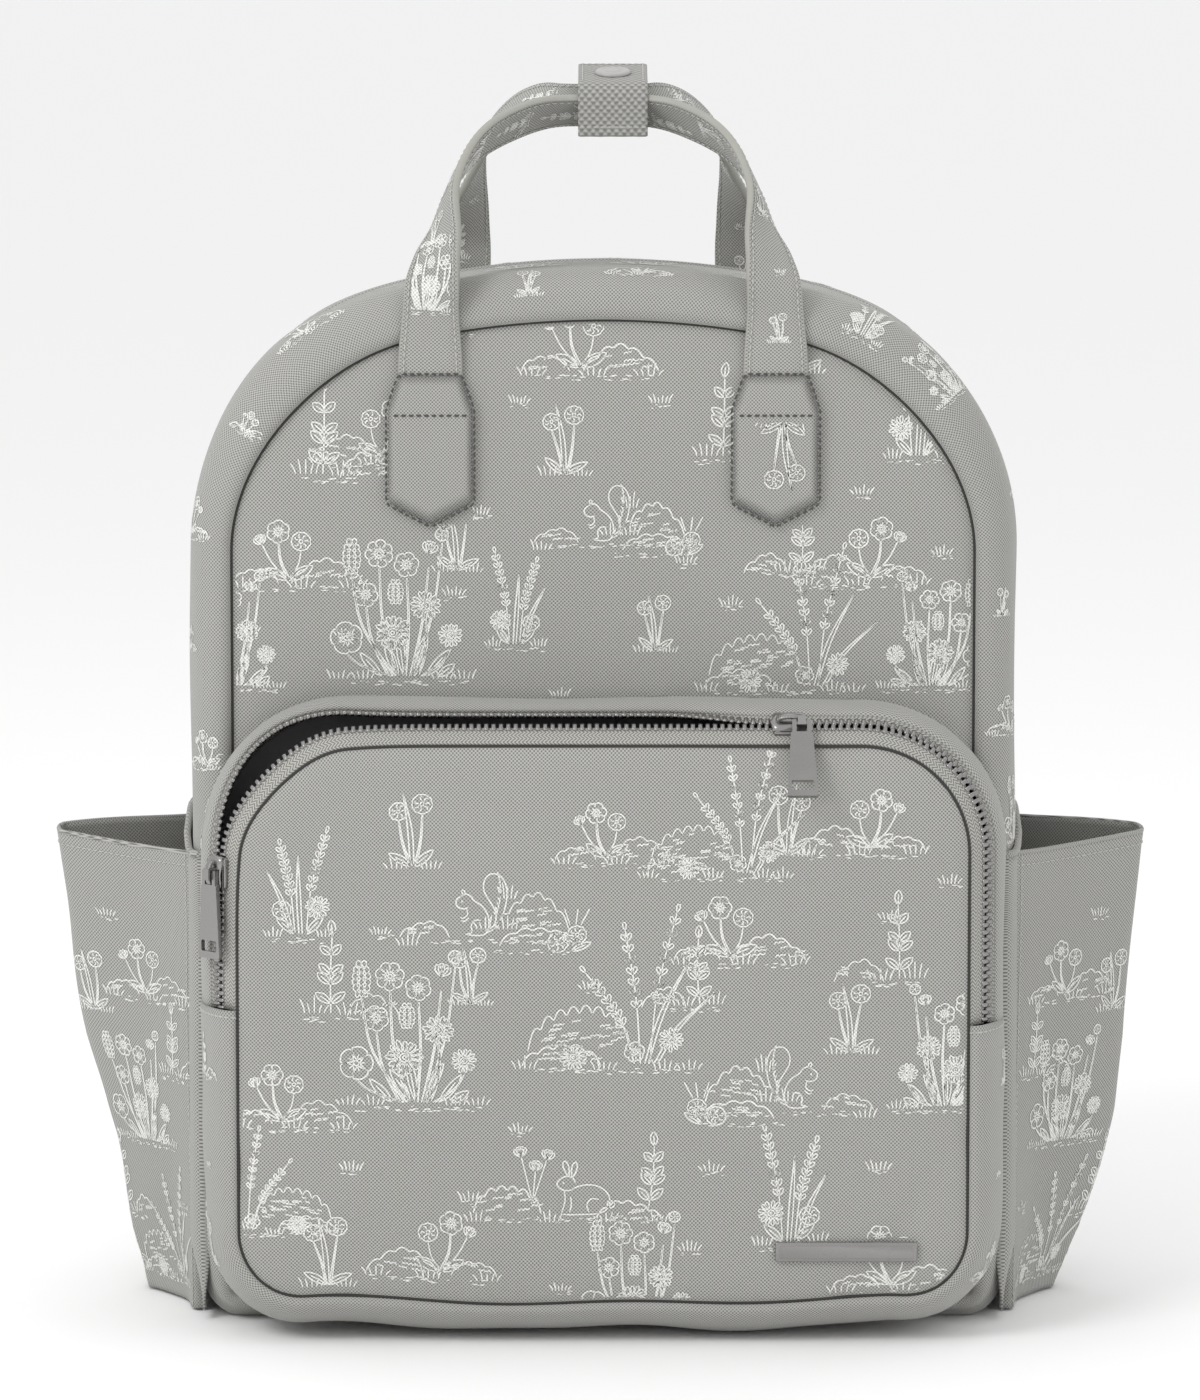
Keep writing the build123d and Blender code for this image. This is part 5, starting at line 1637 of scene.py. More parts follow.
def strap(name, rows, width=22.0, thick=3.0, per=9, mat=None, edge=None, crown=0.35, flare=0.0):
    """A folded and edge-painted strap; flare widens its sewn ends."""
    c, t, e, n = strap_frames(rows, per)
    wide = 1 + flare * smoothstep(412, 384, c[:, 2])
    h, k = width / 2, thick / 2
    prof = []
    m = 14
    for w in np.linspace(-1, 1, m):
        prof.append((w * (h - 0.5), k + crown * (1 - w * w) - 0.55 * math.exp(-((abs(w) * h - (h - 2.0)) / 0.7) ** 2)))
    prof += [(h - 0.12, k * 0.72), (h + 0.1, 0.0), (h - 0.12, -k * 0.72)]
    for w in np.linspace(1, -1, m):
        prof.append((w * (h - 0.5), -k - crown * (1 - w * w) + 0.55 * math.exp(-((abs(w) * h - (h - 2.0)) / 0.7) ** 2)))
    prof += [(-h + 0.12, -k * 0.72), (-h - 0.1, 0.0), (-h + 0.12, k * 0.72)]
    prof = np.array(prof)
    P = c[:, None, :] + e[:, None, :] * prof[None, :, :1] * wide[:, None, None] + n[:, None, :] * prof[None, :, 1:]
    L = np.concatenate([[0], np.cumsum(np.linalg.norm(np.diff(c, axis=0), axis=1))])
    nu, nv = P.shape[:2]
    F = []
    for i in range(nu - 1):
        for j in range(nv):
            F.append((i * nv + j, i * nv + (j + 1) % nv, (i + 1) * nv + (j + 1) % nv, (i + 1) * nv + j))
    F.append(tuple(reversed(range(nv))))
    F.append(tuple((nu - 1) * nv + j for j in range(nv)))
    U, V = np.meshgrid(L, prof[:, 0], indexing="ij")
    ob = mesh_obj(name, P.reshape(-1, 3), F, np.stack([V, U], -1).reshape(-1, 2), mat or strap_canvas)
    ob.data.materials.append(edge or edge_paint)
    idx = [1 if (m - 1) <= (k2_ % nv) < m + 3 or (k2_ % nv) >= 2 * m + 2 else 0 for k2_ in range((nu - 1) * nv)] + [0, 0]
    ob.data.polygons.foreach_set("material_index", idx)
    # stitch lines on both faces, near both edges
    b = Build()
    for w in (-(h - 2.0), h - 2.0):
        for sgn in (1, -1):
            stitches(b, c + e * (w * wide)[:, None] + n * sgn * (k - 0.12), n * sgn, step=3.0, length=2.1, r=0.34, lift=0.2)
    st = b.obj(name + "_stitches", thread_mat)
    side_map = (c, e, n, L)
    return ob, st, side_map


front_rows = whole(FRONT_HALF)
fh, fh_st, fh_map = strap("handle_front", front_rows, flare=0.16)
rear_rows = whole(REAR_HALF)
rear_rows[:, 2] += 4.2 * np.exp(-(((np.abs(rear_rows[:, 0]) - 38) / 13.0) ** 2)) * (rear_rows[:, 2] > 460)
rh, rh_st, rh_map = strap("handle_rear", rear_rows)
for o in (fh, fh_st):
    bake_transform(o)
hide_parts("front_handle")
for o in (rh, rh_st):
    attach(o, "body")
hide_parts("rear_handle")


# house-shaped patches the front handle is sewn under
def patch(name, outline, y0, y1, mat, body, cross=None, stitch_in=2.0, sgn=-1, follow=None):
    """A flat sewn patch with a softened edge, outline in x, z, from y0 (cloth) to y1 (face)."""
    path = Path(rounded(outline, [1.4] * len(outline), True, step=2.0, arc_step=0.8), True)
    levels = [(0.0, 0.0), (0.0, 0.55), (-0.25, 0.85), (-0.7, 1.0), (-1.2, 1.02), (None, 1.02)]
    rows = []
    mid_p = path.p.mean(0)
    for off, f in levels:
        p = mid_p + (path.off(-1.2) - mid_p) * 0.8 if off is None else path.off(off)
        yy = y0 + (y1 - y0) * f
        base = follow(p[:, 0], p[:, 1]) if follow is not None else 0.0
        rows.append(np.stack([p[:, 0], np.full(len(p), yy) + base, p[:, 1]], 1))
    V = np.vstack(rows)
    n = len(rows[0])
    F = []
    for i in range(len(rows) - 1):
        for j in range(n):
            f = (i * n + j, i * n + (j + 1) % n, (i + 1) * n + (j + 1) % n, (i + 1) * n + j)
            F.append(f if sgn > 0 else f[::-1])
    last = (len(rows) - 1) * n
    cap = tuple(last + j for j in range(n))
    F.append(cap if sgn > 0 else cap[::-1])
    bottom = tuple(range(n))
    F.append(bottom[::-1] if sgn > 0 else bottom)
    ob = mesh_obj(name, V, F, V[:, [0, 2]], mat)
    b = Build()
    q = path.off(-stitch_in)
    q = resample(np.vstack([q, q[:1]]), 1.0)
    base = follow(q[:, 0], q[:, 1]) if follow is not None else 0.0
    stitches(b, np.stack([q[:, 0], np.full(len(q), y1) + base, q[:, 1]], 1), np.tile([0, sgn, 0], (len(q), 1)), step=2.9, length=2.0, r=0.46, lift=0.3)
    if cross is not None:
        for a, c in cross:
            q = resample(np.array([a, c], float), 2.0)
            base = follow(q[:, 0], q[:, 1]) if follow is not None else 0.0
            stitches(b, np.stack([q[:, 0], np.full(len(q), y1) + base, q[:, 1]], 1), np.tile([0, sgn, 0], (len(q), 1)), step=2.9, length=2.0, r=0.46, lift=0.3)
    st = b.obj(name + "_stitches", thread_dark)
    for o in (ob, st):
        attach(o, body)
    return ob


for side, nm in ((-1, "left"), (1, "right")):
    cx = 68.5 * side
    h = 15.5
    outline = [(cx, 324), (cx + h, 332), (cx + h, 368), (cx + 11.2, 380.5), (cx - 11.2, 380.5), (cx - h, 368), (cx - h, 332)]
    ob = patch(f"handle_house_{nm}", outline, -72.6, -76.1, strap_canvas, "flap", cross=[((cx - h + 2, 366), (cx + h - 2, 366))])
    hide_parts(f"handle_patch_{nm}")

yoke = patch("back_yoke_cloth", [(-98, 352), (98, 352), (98, 394), (-98, 394)], 70.4, 73.6, strap_canvas, "body", sgn=1, cross=[((-96, 373), (96, 373))])
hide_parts("back_yoke")


# ---------------------------------------------------------------- the wrap round the handles
def sheet_loop(name, yz, x0, x1, thick, mat, body, wavy=0.35):
    """A strip of webbing along a line in y, z, from x0 to x1, as a closed band with its own thickness."""
    line = resample(spline(yz, len(yz) * 10), 1.1)
    t = np.gradient(line, axis=0)
    t /= np.linalg.norm(t, axis=1, keepdims=True)
    n = np.stack([-t[:, 1], t[:, 0]], 1)
    xs = np.concatenate([[x0, x0 + 0.35], np.linspace(x0 + 1.2, x1 - 1.2, 15), [x1 - 0.35, x1]])
    k = thick / 2
    edge = np.array([0.35, 0.85] + [1.0] * 15 + [0.85, 0.35])
    s = np.concatenate([[0], np.cumsum(np.linalg.norm(np.diff(line, axis=0), axis=1))])
    top = np.zeros((len(line), len(xs), 3))
    bot = np.zeros_like(top)
    for j, x in enumerate(xs):
        w = 0.12 * math.sin(j * 1.3)
        for P, sg in ((top, 1), (bot, -1)):
            q = line + n * (k * edge[j] * sg + w * 0.3)
            P[:, j, 0] = x
            P[:, j, 1:] = q
    ring = np.concatenate([top, bot[:, ::-1]], 1)
    nu, nv = ring.shape[:2]
    F = []
    for i in range(nu - 1):
        for j in range(nv):
            F.append((i * nv + j, i * nv + (j + 1) % nv, (i + 1) * nv + (j + 1) % nv, (i + 1) * nv + j))
    F.append(tuple(reversed(range(nv))))
    F.append(tuple((nu - 1) * nv + j for j in range(nv)))
    U = np.repeat(s[:, None], nv, 1)
    V = np.tile(np.concatenate([xs, xs[::-1]]), (nu, 1))
    ob = mesh_obj(name, ring.reshape(-1, 3), F, np.stack([V, U], -1).reshape(-1, 2), mat)
    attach(ob, body)
    return ob


under = sheet_loop("wrap_band", [(18.6, 477.6), (5, 475.7), (-8, 475.6), (-19.5, 475.7), (-20.6, 480), (-20.7, 485), (-20.4, 489.6), (-18.4, 492.2), (-8, 494.4), (6, 497.2), (16.0, 499.0), (19.2, 497), (19.6, 487), (18.9, 479)], -10, 18, 1.5, webbing_mat, "body")
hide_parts("wrap_under_layer")
over = sheet_loop("wrap_band_top", [(-22.45, 475.0), (-22.6, 483), (-22.5, 488), (-21.8, 492.0), (-19.2, 494.9), (-13, 496.7), (-3, 498.9), (6, 501.0), (14, 502.7)], -10, 18, 1.7, webbing_mat, "wrap_flap")
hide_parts("wrap_top_flap")
b = Build()
for x in (-8.2, 16.2):
    q = resample(np.array([(x, -13.0, 497.6), (x, 12.5, 503.3)], float), 1.5)
    stitches(b, q, np.tile([0, 0, 1.0], (len(q), 1)), step=2.8, length=2.0, r=0.3)
q = resample(np.array([(-8.2, 12.4, 503.3), (16.2, 12.4, 503.3)], float), 1.5)
stitches(b, q, np.tile([0, 0, 1.0], (len(q), 1)), step=2.8, length=2.0, r=0.3)
wst = b.obj("wrap_band_top_stitches", thread_mat)
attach(wst, "wrap_flap")
b = Build()
for z in (478.6,):
    q = resample(np.array([(-8.4, -23.35, z), (16.4, -23.35, z)], float), 1.5)
    stitches(b, q, np.tile([0, -1.0, 0], (len(q), 1)), step=2.8, length=2.0, r=0.3, lift=0.05)
wst2 = b.obj("wrap_band_front_stitches", thread_mat)
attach(wst2, "wrap_flap")


def lathe(name, centre, prof, mat, body, n=40):
    """A turned piece about the vertical, from (radius, height) pairs."""
    prof = np.array(prof, float)
    a = np.linspace(0, 2 * math.pi, n, endpoint=False)
    P = np.stack([centre[0] + prof[None, :, 0] * np.cos(a)[:, None], centre[1] + prof[None, :, 0] * np.sin(a)[:, None], np.tile(prof[:, 1], (n, 1))], -1)
    ob = mesh_obj(name, P.reshape(-1, 3), grid_faces(n, len(prof), True), P.reshape(-1, 3)[:, :2], mat)
    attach(ob, body)
    return ob


cap_ = lathe("snap_cap_domed", (4, -3), [(0.0, 503.1), (1.5, 503.12), (3.2, 503.0), (3.6, 502.75), (4.4, 502.8), (5.6, 503.05), (6.5, 502.9), (7.1, 502.4), (7.25, 501.9), (7.1, 501.45), (0.0, 501.4)], snap_mat, "wrap_flap")
sock = lathe("snap_socket_ring", (4, -3), [(0.0, 501.2), (5.6, 501.2), (6.0, 500.9), (6.0, 499.9), (5.5, 499.6), (3.4, 499.6), (3.1, 499.9), (0.0, 500.0)], snap_mat, "wrap_flap")
stud = lathe("snap_stud_post", (4, -3), [(0.0, 500.5), (2.0, 500.4), (2.5, 500.0), (2.2, 499.4), (2.6, 498.6), (5.2, 498.5), (5.2, 498.1), (0.0, 498.1)], snap_mat, "body")
tilt = math.radians(12.4)
for o in (cap_, sock, stud):
    for v in o.data.vertices:
        y, z = v.co.y + 0.003, v.co.z - 0.5014
        v.co.y = -0.003 + y * math.cos(tilt) - z * math.sin(tilt)
        v.co.z = (0.49975 if o is cap_ else 0.49905) + y * math.sin(tilt) + z * math.cos(tilt)
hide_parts("snap_socket")
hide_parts("snap_stud")
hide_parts("snap_cap")


# ---------------------------------------------------------------- shoulder straps
ARC_IN = [(73.6, 348.5), (106, 240), (84, 126)]
ARC_OUT = [(82.6, 348.5), (116, 240), (93, 126)]


def three_point(a, b, c, n):
    """Points along the circle through three points."""
    (ax, ay), (bx, by), (cx, cy) = a, b, c
    d = 2 * (ax * (by - cy) + bx * (cy - ay) + cx * (ay - by))
    ux = ((ax * ax + ay * ay) * (by - cy) + (bx * bx + by * by) * (cy - ay) + (cx * cx + cy * cy) * (ay - by)) / d
    uy = ((ax * ax + ay * ay) * (cx - bx) + (bx * bx + by * by) * (ax - cx) + (cx * cx + cy * cy) * (bx - ax)) / d
    r = math.hypot(ax - ux, ay - uy)
    a0, a1 = math.atan2(ay - uy, ax - ux), math.atan2(cy - uy, cx - ux)
    while a1 - a0 > math.pi:
        a1 -= 2 * math.pi
    while a1 - a0 < -math.pi:
        a1 += 2 * math.pi
    q = np.linspace(a0, a1, n)
    return np.stack([ux + r * np.cos(q), uy + r * np.sin(q)], 1)


for side, nm in ((-1, "left"), (1, "right")):
    x0 = 62 * side
    body = f"strap_{nm}"
    n = 90
    ci, co_ = three_point(*ARC_IN, n), three_point(*ARC_OUT, n)
    mid_ = (ci + co_) / 2
    th = np.linalg.norm(co_ - ci, axis=1)
    t = np.gradient(mid_, axis=0)
    t /= np.linalg.norm(t, axis=1, keepdims=True)
    nn = np.stack([t[:, 1], -t[:, 0]], 1)
    if (nn[n // 2] * (co_ - ci)[n // 2]).sum() < 0:
        nn = -nn
    s = np.concatenate([[0], np.cumsum(np.linalg.norm(np.diff(mid_, axis=0), axis=1))])
    # padded body: full in the middle, thin at the bound edge, narrowed at both ends
    m = 25
    ring_w = np.concatenate([np.linspace(-1, 1, m), np.linspace(1, -1, m)])
    ring_s = np.concatenate([np.ones(m), -np.ones(m)])
    P = np.zeros((n, 2 * m, 3))
    for i in range(n):
        u = i / (n - 1)
        half = 27.0 - 6.0 * smoothstep(0.12, 0.0, u) - 9.0 * smoothstep(0.86, 1.0, u)
        full = th[i] / 2 * (1 - 0.45 * smoothstep(0.05, 0.0, u) - 0.45 * smoothstep(0.94, 1.0, u))
        chan = 1.0
        for uc in (0.25, 0.5, 0.75):
            chan = chan - 0.16 * math.exp(-(((u - uc) * s[-1]) / 2.4) ** 2)
        prof = (1 - np.abs(ring_w) ** 3.2) ** 0.55
        hgt = np.maximum(full * prof * chan, 0.95)
        q = mid_[i][None] + nn[i][None] * (hgt * ring_s)[:, None]
        P[i, :, 0] = x0 + ring_w * half
        P[i, :, 1:] = q
    F = []
    nv = 2 * m
    for i in range(n - 1):
        for j in range(nv):
            F.append((i * nv + j, i * nv + (j + 1) % nv, (i + 1) * nv + (j + 1) % nv, (i + 1) * nv + j))
    F.append(tuple(reversed(range(nv))))
    F.append(tuple((n - 1) * nv + j for j in range(nv)))
    uv = np.stack([P[..., 0], np.repeat(s[:, None], nv, 1)], -1)
    pad = mesh_obj(f"shoulder_pad_{nm}", P.reshape(-1, 3), F, uv.reshape(-1, 2), canvas)
    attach(pad, body)
    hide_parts(f"strap_pad_{nm}")
    # bound edge all round
    left = P[:, 0] * 0.5 + P[:, -1] * 0.5
    right = P[:, m - 1] * 0.5 + P[:, m] * 0.5
    bottom = (P[-1, :m] + P[-1, ::-1][:m]) / 2
    around = np.vstack([left[2:], bottom[1:-1], right[2:][::-1]])
    around = resample(around, 2.2)
    bind = tube(f"shoulder_binding_{nm}", around, 1.75, strap_canvas, sides=9)
    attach(bind, body)
    # webbing sewn down the middle of the outer face, through the lock's loop at its end
    def web_strip(name, line, width, thick, mat, x_line=None):
        line = np.asarray(line, float)
        tt = np.gradient(line, axis=0)
        tt /= np.linalg.norm(tt, axis=1, keepdims=True)
        e = np.tile([1.0, 0, 0], (len(line), 1))
        e = e - (e * tt).sum(1, keepdims=True) * tt
        e /= np.linalg.norm(e, axis=1, keepdims=True)
        nrm = np.cross(tt, e)
        prof = []
        w = width / 2
        for a in np.linspace(-1, 1, 9):
            prof.append((a * (w - 0.35), thick / 2))
        prof.append((w, 0))
        for a in np.linspace(1, -1, 9):
            prof.append((a * (w - 0.35), -thick / 2))
        prof.append((-w, 0))
        prof = np.array(prof)
        Q = line[:, None] + e[:, None] * prof[None, :, :1] + nrm[:, None] * prof[None, :, 1:]
        k = len(prof)
        F = []
        for i in range(len(line) - 1):
            for j in range(k):
                F.append((i * k + j, i * k + (j + 1) % k, (i + 1) * k + (j + 1) % k, (i + 1) * k + j))
        F.append(tuple(reversed(range(k))))
        F.append(tuple((len(line) - 1) * k + j for j in range(k)))
        L = np.concatenate([[0], np.cumsum(np.linalg.norm(np.diff(line, axis=0), axis=1))])
        U, V = np.meshgrid(L, prof[:, 0], indexing="ij")
        ob = mesh_obj(name, Q.reshape(-1, 3), F, np.stack([V, U], -1).reshape(-1, 2), mat)
        return ob, line, e, nrm

    top_line = np.column_stack([np.full(n, x0), mid_[:, 0], mid_[:, 1]]) + np.column_stack([np.zeros(n), nn * ((th / 2) * 0.99)[:, None]])
    wob, wl, we, wn = web_strip(f"shoulder_webbing_{nm}", top_line[6:-3], 24.0, 1.3, webbing_mat)
    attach(wob, body)
    b = Build()
    out_n = np.column_stack([np.zeros(n), nn])[6:-3]
    for sx in (-10.0, 10.0):
        stitches(b, wl + np.array([sx, 0, 0]) + out_n * 0.65, out_n, step=3.0, length=2.2, r=0.32)
    st = b.obj(f"shoulder_stitches_{nm}", thread_mat)
    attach(st, body)
    # hardware and loose ends
    dress(nodes[f"ladder_lock_{nm}"], buckle_mat)
    lob, *_ = web_strip(f"lock_loop_web_{nm}", [(x0, 88.4, 126.4), (x0, 88.4, 124), (x0, 88.4, 121.2)], 24.0, 1.9, webbing_mat)
    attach(lob, body)
    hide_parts(f"lock_loop_{nm}")
    tz = np.linspace(111.8, 48.4, 26)
    ty = 91.5 + 0.9 * np.sin((112 - tz) / 64 * math.pi * 1.3) * smoothstep(112, 92, tz) * 0.9
    tail, tl, te, tn = web_strip(f"webbing_tail_cloth_{nm}", np.column_stack([np.full(26, x0), ty, tz]), 24.0, 1.3, webbing_mat)
    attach(tail, body)
    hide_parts(f"webbing_tail_{nm}")
    hemq, *_ = web_strip(f"webbing_tail_hem_{nm}", [(x0, float(ty[-1]) + 1.2, 60.0), (x0, float(ty[-1]) + 1.25, 54.0), (x0, float(ty[-1]) + 1.2, 48.8)], 24.0, 1.2, webbing_mat)
    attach(hemq, body)
    low_pts = [(x0, 84.8, 103), (x0, 82.4, 76), (68 * side, 80.8, 51), (83 * side, 79.6, 33), (105 * side, 78.4, 25), (128 * side, 75.9, 29)]
    low_line = catmull3(np.array(low_pts, float), 9)
    # its width stays across the run: a flat band that turns with it
    t3 = np.gradient(low_line, axis=0)
    t3 /= np.linalg.norm(t3, axis=1, keepdims=True)
    e3 = np.cross(np.array([0, 1.0, 0]), t3)
    e3 /= np.linalg.norm(e3, axis=1, keepdims=True)
    n3 = np.cross(t3, e3)
    prof = np.array([(a * 12.1, 0.72) for a in np.linspace(-1, 1, 9)] + [(12.5, 0)] + [(a * 12.1, -0.72) for a in np.linspace(1, -1, 9)] + [(-12.5, 0)])
    Q = low_line[:, None] + e3[:, None] * prof[None, :, :1] + n3[:, None] * prof[None, :, 1:]
    k = len(prof)
    F = []
    for i in range(len(low_line) - 1):
        for j in range(k):
            F.append((i * k + j, i * k + (j + 1) % k, (i + 1) * k + (j + 1) % k, (i + 1) * k + j))
    F.append(tuple(reversed(range(k))))
    F.append(tuple((len(low_line) - 1) * k + j for j in range(k)))
    L = np.concatenate([[0], np.cumsum(np.linalg.norm(np.diff(low_line, axis=0), axis=1))])
    U, V = np.meshgrid(L, prof[:, 0], indexing="ij")
    lw = mesh_obj(f"lower_webbing_cloth_{nm}", Q.reshape(-1, 3), F, np.stack([V, U], -1).reshape(-1, 2), webbing_mat)
    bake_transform(lw)
    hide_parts(f"lower_webbing_{nm}")
    tri = [(156 * side, 14), (156 * side, 44), (130 * side, 50), (108 * side, 28), (118 * side, 14)]
    if side < 0:
        tri = tri[::-1]
    anchor = patch(f"strap_anchor_cloth_{nm}", tri, 70.6, 73.2, strap_canvas, "body", sgn=1)
    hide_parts(f"strap_anchor_{nm}")


# ---------------------------------------------------------------- badge on the pocket
bz0 = 38.0
by0 = float(pocket_y(np.array([96.0]), np.array([bz0]))[0]) - 1.0
slope = float(pocket_y(np.array([96.0]), np.array([bz0 + 4]))[0] - pocket_y(np.array([96.0]), np.array([bz0 - 4]))[0]) / 8
slope_x = float(pocket_y(np.array([120.0]), np.array([bz0]))[0] - pocket_y(np.array([72.0]), np.array([bz0]))[0]) / 48
zdir = unit(np.array([0, slope, 1.0]))
xdir = unit(np.array([1.0, slope_x, 0]))
outd = unit(np.cross(xdir, zdir))
if outd[1] > 0:
    outd = -outd
b = Build()
c0 = np.array([96.0, by0, bz0 + float(sag(np.array([96.0]), np.array([bz0]))[0])]) + outd * 0.35
rounded_box(b, c0, xdir, zdir, outd, 28.0, 4.0, 0.75, 0.6, 4)
rounded_box(b, c0 + outd * 0.5, xdir, zdir, outd, 26.6, 2.7, 0.42, 0.3, 3)
badge = b.obj("badge_bar", nickel)
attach(badge, "body")
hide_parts("badge_plate")


# ---------------------------------------------------------------- the white line print
def in_box(q, x0, x1, z0, z1):
    return (q[:, 0] > x0) & (q[:, 0] < x1) & (q[:, 1] > z0) & (q[:, 1] < z1)


front_surface = Planar(-162, 162, 190, 430, front_y, 2.0)
front_clip = front_seam.off(-1.6)


def keep_front(q):
    ok = inside(front_clip, q[:, 0], q[:, 1]) & (q[:, 1] > 205)
    for cx in (-68.5, 68.5):
        ok &= ~in_box(q, cx - 16.4, cx + 16.4, 323, 382)
        ok &= ~in_box(q, cx - 11.4, cx + 11.4, 380, 430)
    return ok


def px_front(px, py):
    return (px - 603) * 0.4, 403 - (py - 330) * 0.403


b = Build()
for key, px, py, sc, fl in (
    ("C", 580, 375, 1.0, 0), ("F", 325, 480, 1.0, 0), ("C", 385, 462, 0.9, 1), ("A", 430, 338, 0.62, 0), ("G", 565, 480, 0.85, 0),
    ("B", 625, 545, 0.72, 0), ("F", 722, 462, 0.95, 0), ("C", 290, 585, 0.95, 0), ("A", 405, 680, 0.80, 0), ("I", 515, 648, 0.70, 0),
    ("D", 782, 690, 0.80, 0), ("C", 870, 582, 0.95, 1), ("I", 915, 462, 0.80, 0), ("A", 930, 690, 0.62, 1), ("A", 232, 690, 0.62, 0),
    ("G", 655, 655, 0.7, 0), ("F", 800, 575, 0.8, 1), ("G", 458, 575, 0.8, 0), ("G", 800, 380, 0.75, 1), ("F", 250, 395, 0.8, 1),
    ("t", 660, 410, 1.1, 0), ("t", 455, 600, 1.1, 0), ("t", 685, 568, 1.1, 0), ("t", 250, 640, 1.1, 0), ("t", 520, 410, 1.0, 0),
    ("t", 345, 640, 1.0, 0), ("t", 560, 700, 1.0, 0), ("t", 730, 610, 1.1, 0), ("t", 860, 500, 1.1, 0), ("t", 940, 560, 1.0, 0), ("t", 480, 520, 1.0, 0),
):
    draw(b, SCENES[key](), px_front(px, py), front_surface, keep_front, scale=sc * (1.0 if key == "t" else 1.36), flip=bool(fl))
pr = b.obj("print_front", print_mat)
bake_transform(pr)

flat_pocket = Planar(-150, 150, 10, 245, pocket_y, 2.0)


def pocket_surface(q):
    p, n = flat_pocket(q)
    return sag_P(p), n


pocket_clip = pocket_path.off(-1.5)


def keep_pocket(q):
    ok = inside(pocket_clip, q[:, 0], q[:, 1])
    ok &= ~in_box(q, 67.4, 124.6, 33.6, 42.4)
    return ok


def px_pocket(px, py):
    return (px - 603) * 0.392, 239 - (py - 742) * 0.3925


b = Build()
for key, px, py, sc, fl in (
    ("B", 502, 930, 0.80, 0), ("G", 412, 862, 0.9, 0), ("C", 605, 852, 0.85, 0), ("D", 718, 868, 0.72, 0), ("G", 788, 850, 0.85, 1),
    ("C", 872, 842, 0.9, 1), ("A", 415, 1100, 0.82, 0), ("D", 610, 1060, 0.88, 0), ("C", 730, 952, 0.95, 0), ("B", 772, 1105, 0.80, 1),
    ("G", 852, 1050, 0.85, 0), ("A", 948, 1105, 0.66, 1), ("E", 572, 1212, 0.82, 0), ("D", 268, 1232, 0.66, 1), ("I", 790, 1242, 0.85, 0),
    ("C", 440, 1272, 0.95, 1), ("G", 325, 1292, 0.9, 0), ("A", 642, 1338, 0.68, 0), ("C", 892, 1292, 1.0, 0), ("F", 330, 1010, 0.95, 0),
    ("I", 300, 930, 0.8, 1), ("F", 900, 975, 0.9, 1), ("G", 470, 1000, 0.7, 0), ("C", 280, 1120, 0.9, 0), ("F", 700, 1000, 0.8, 1),
    ("t", 590, 985, 1.1, 0), ("t", 890, 915, 1.1, 0), ("t", 712, 1170, 1.2, 0), ("t", 470, 1200, 1.2, 0), ("t", 880, 1170, 1.2, 0),
    ("t", 950, 880, 1.1, 0), ("t", 350, 1170, 1.1, 0), ("t", 520, 1130, 1.1, 0), ("t", 690, 1250, 1.1, 0), ("t", 380, 930, 1.0, 0), ("t", 560, 1290, 1.0, 0),
):
    draw(b, SCENES[key](), px_pocket(px, py), pocket_surface, keep_pocket, scale=sc * (1.0 if key == "t" else 1.36), flip=bool(fl))
pr = b.obj("print_pocket", print_mat)
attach(pr, "body")


def scatter(build, surface, spots, keep, rot_of, width=0.62, seeds="CGFItA"):
    for i, (u, v, sc) in enumerate(spots):
        key = seeds[int(rng.integers(0, len(seeds)))]
        draw(build, SCENES[key](), (u, v), surface, keep, scale=sc, flip=bool(rng.integers(0, 2)), rot=rot_of(u), width=width)


# gussets: the cloth runs round the bag, motifs upright on its sides and facing back on top
Lb = body_path.length
u_top = float(np.interp(0, body_path.p[(body_path.p[:, 1] > 300), 0], body_path.s[(body_path.p[:, 1] > 300)]))


def rot_body(u):
    if u < u_top - 130:
        return -math.pi / 2
    if u > u_top + 130:
        return math.pi / 2
    return 0.0


vtot = float(gv[-1])
sup = (body_path.s[(body_path.p[:, 1] > 20)].min(), body_path.s[(body_path.p[:, 1] > 20)].max())
b = Build()
keep_g = lambda q: (q[:, 1] > 5.2) & (q[:, 1] < vtot - 3.0) & (q[:, 0] > 3) & (q[:, 0] < Lb - 3)
spots = [(u, v + 9 * math.sin(u), 0.62 + 0.15 * math.sin(u * 1.7)) for u in np.arange(sup[0] + 20, sup[1], 46) for v in (22, 78)]
scatter(b, map_front, spots, keep_g, rot_body, seeds="CGFItAC")
pr = b.obj("print_gusset_front", print_mat)
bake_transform(pr)
b = Build()
keep_r = lambda q: (q[:, 1] > 2.5) & (q[:, 1] < float(rv[-1]) - 3.0) & (q[:, 0] > 3) & (q[:, 0] < Lb - 3)
spots = [(u, 16, 0.5) for u in np.arange(sup[0] + 30, sup[1], 44)]
scatter(b, map_rear, spots, keep_r, rot_body, seeds="CGFt")
pr = b.obj("print_gusset_rear", print_mat)
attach(pr, "body")

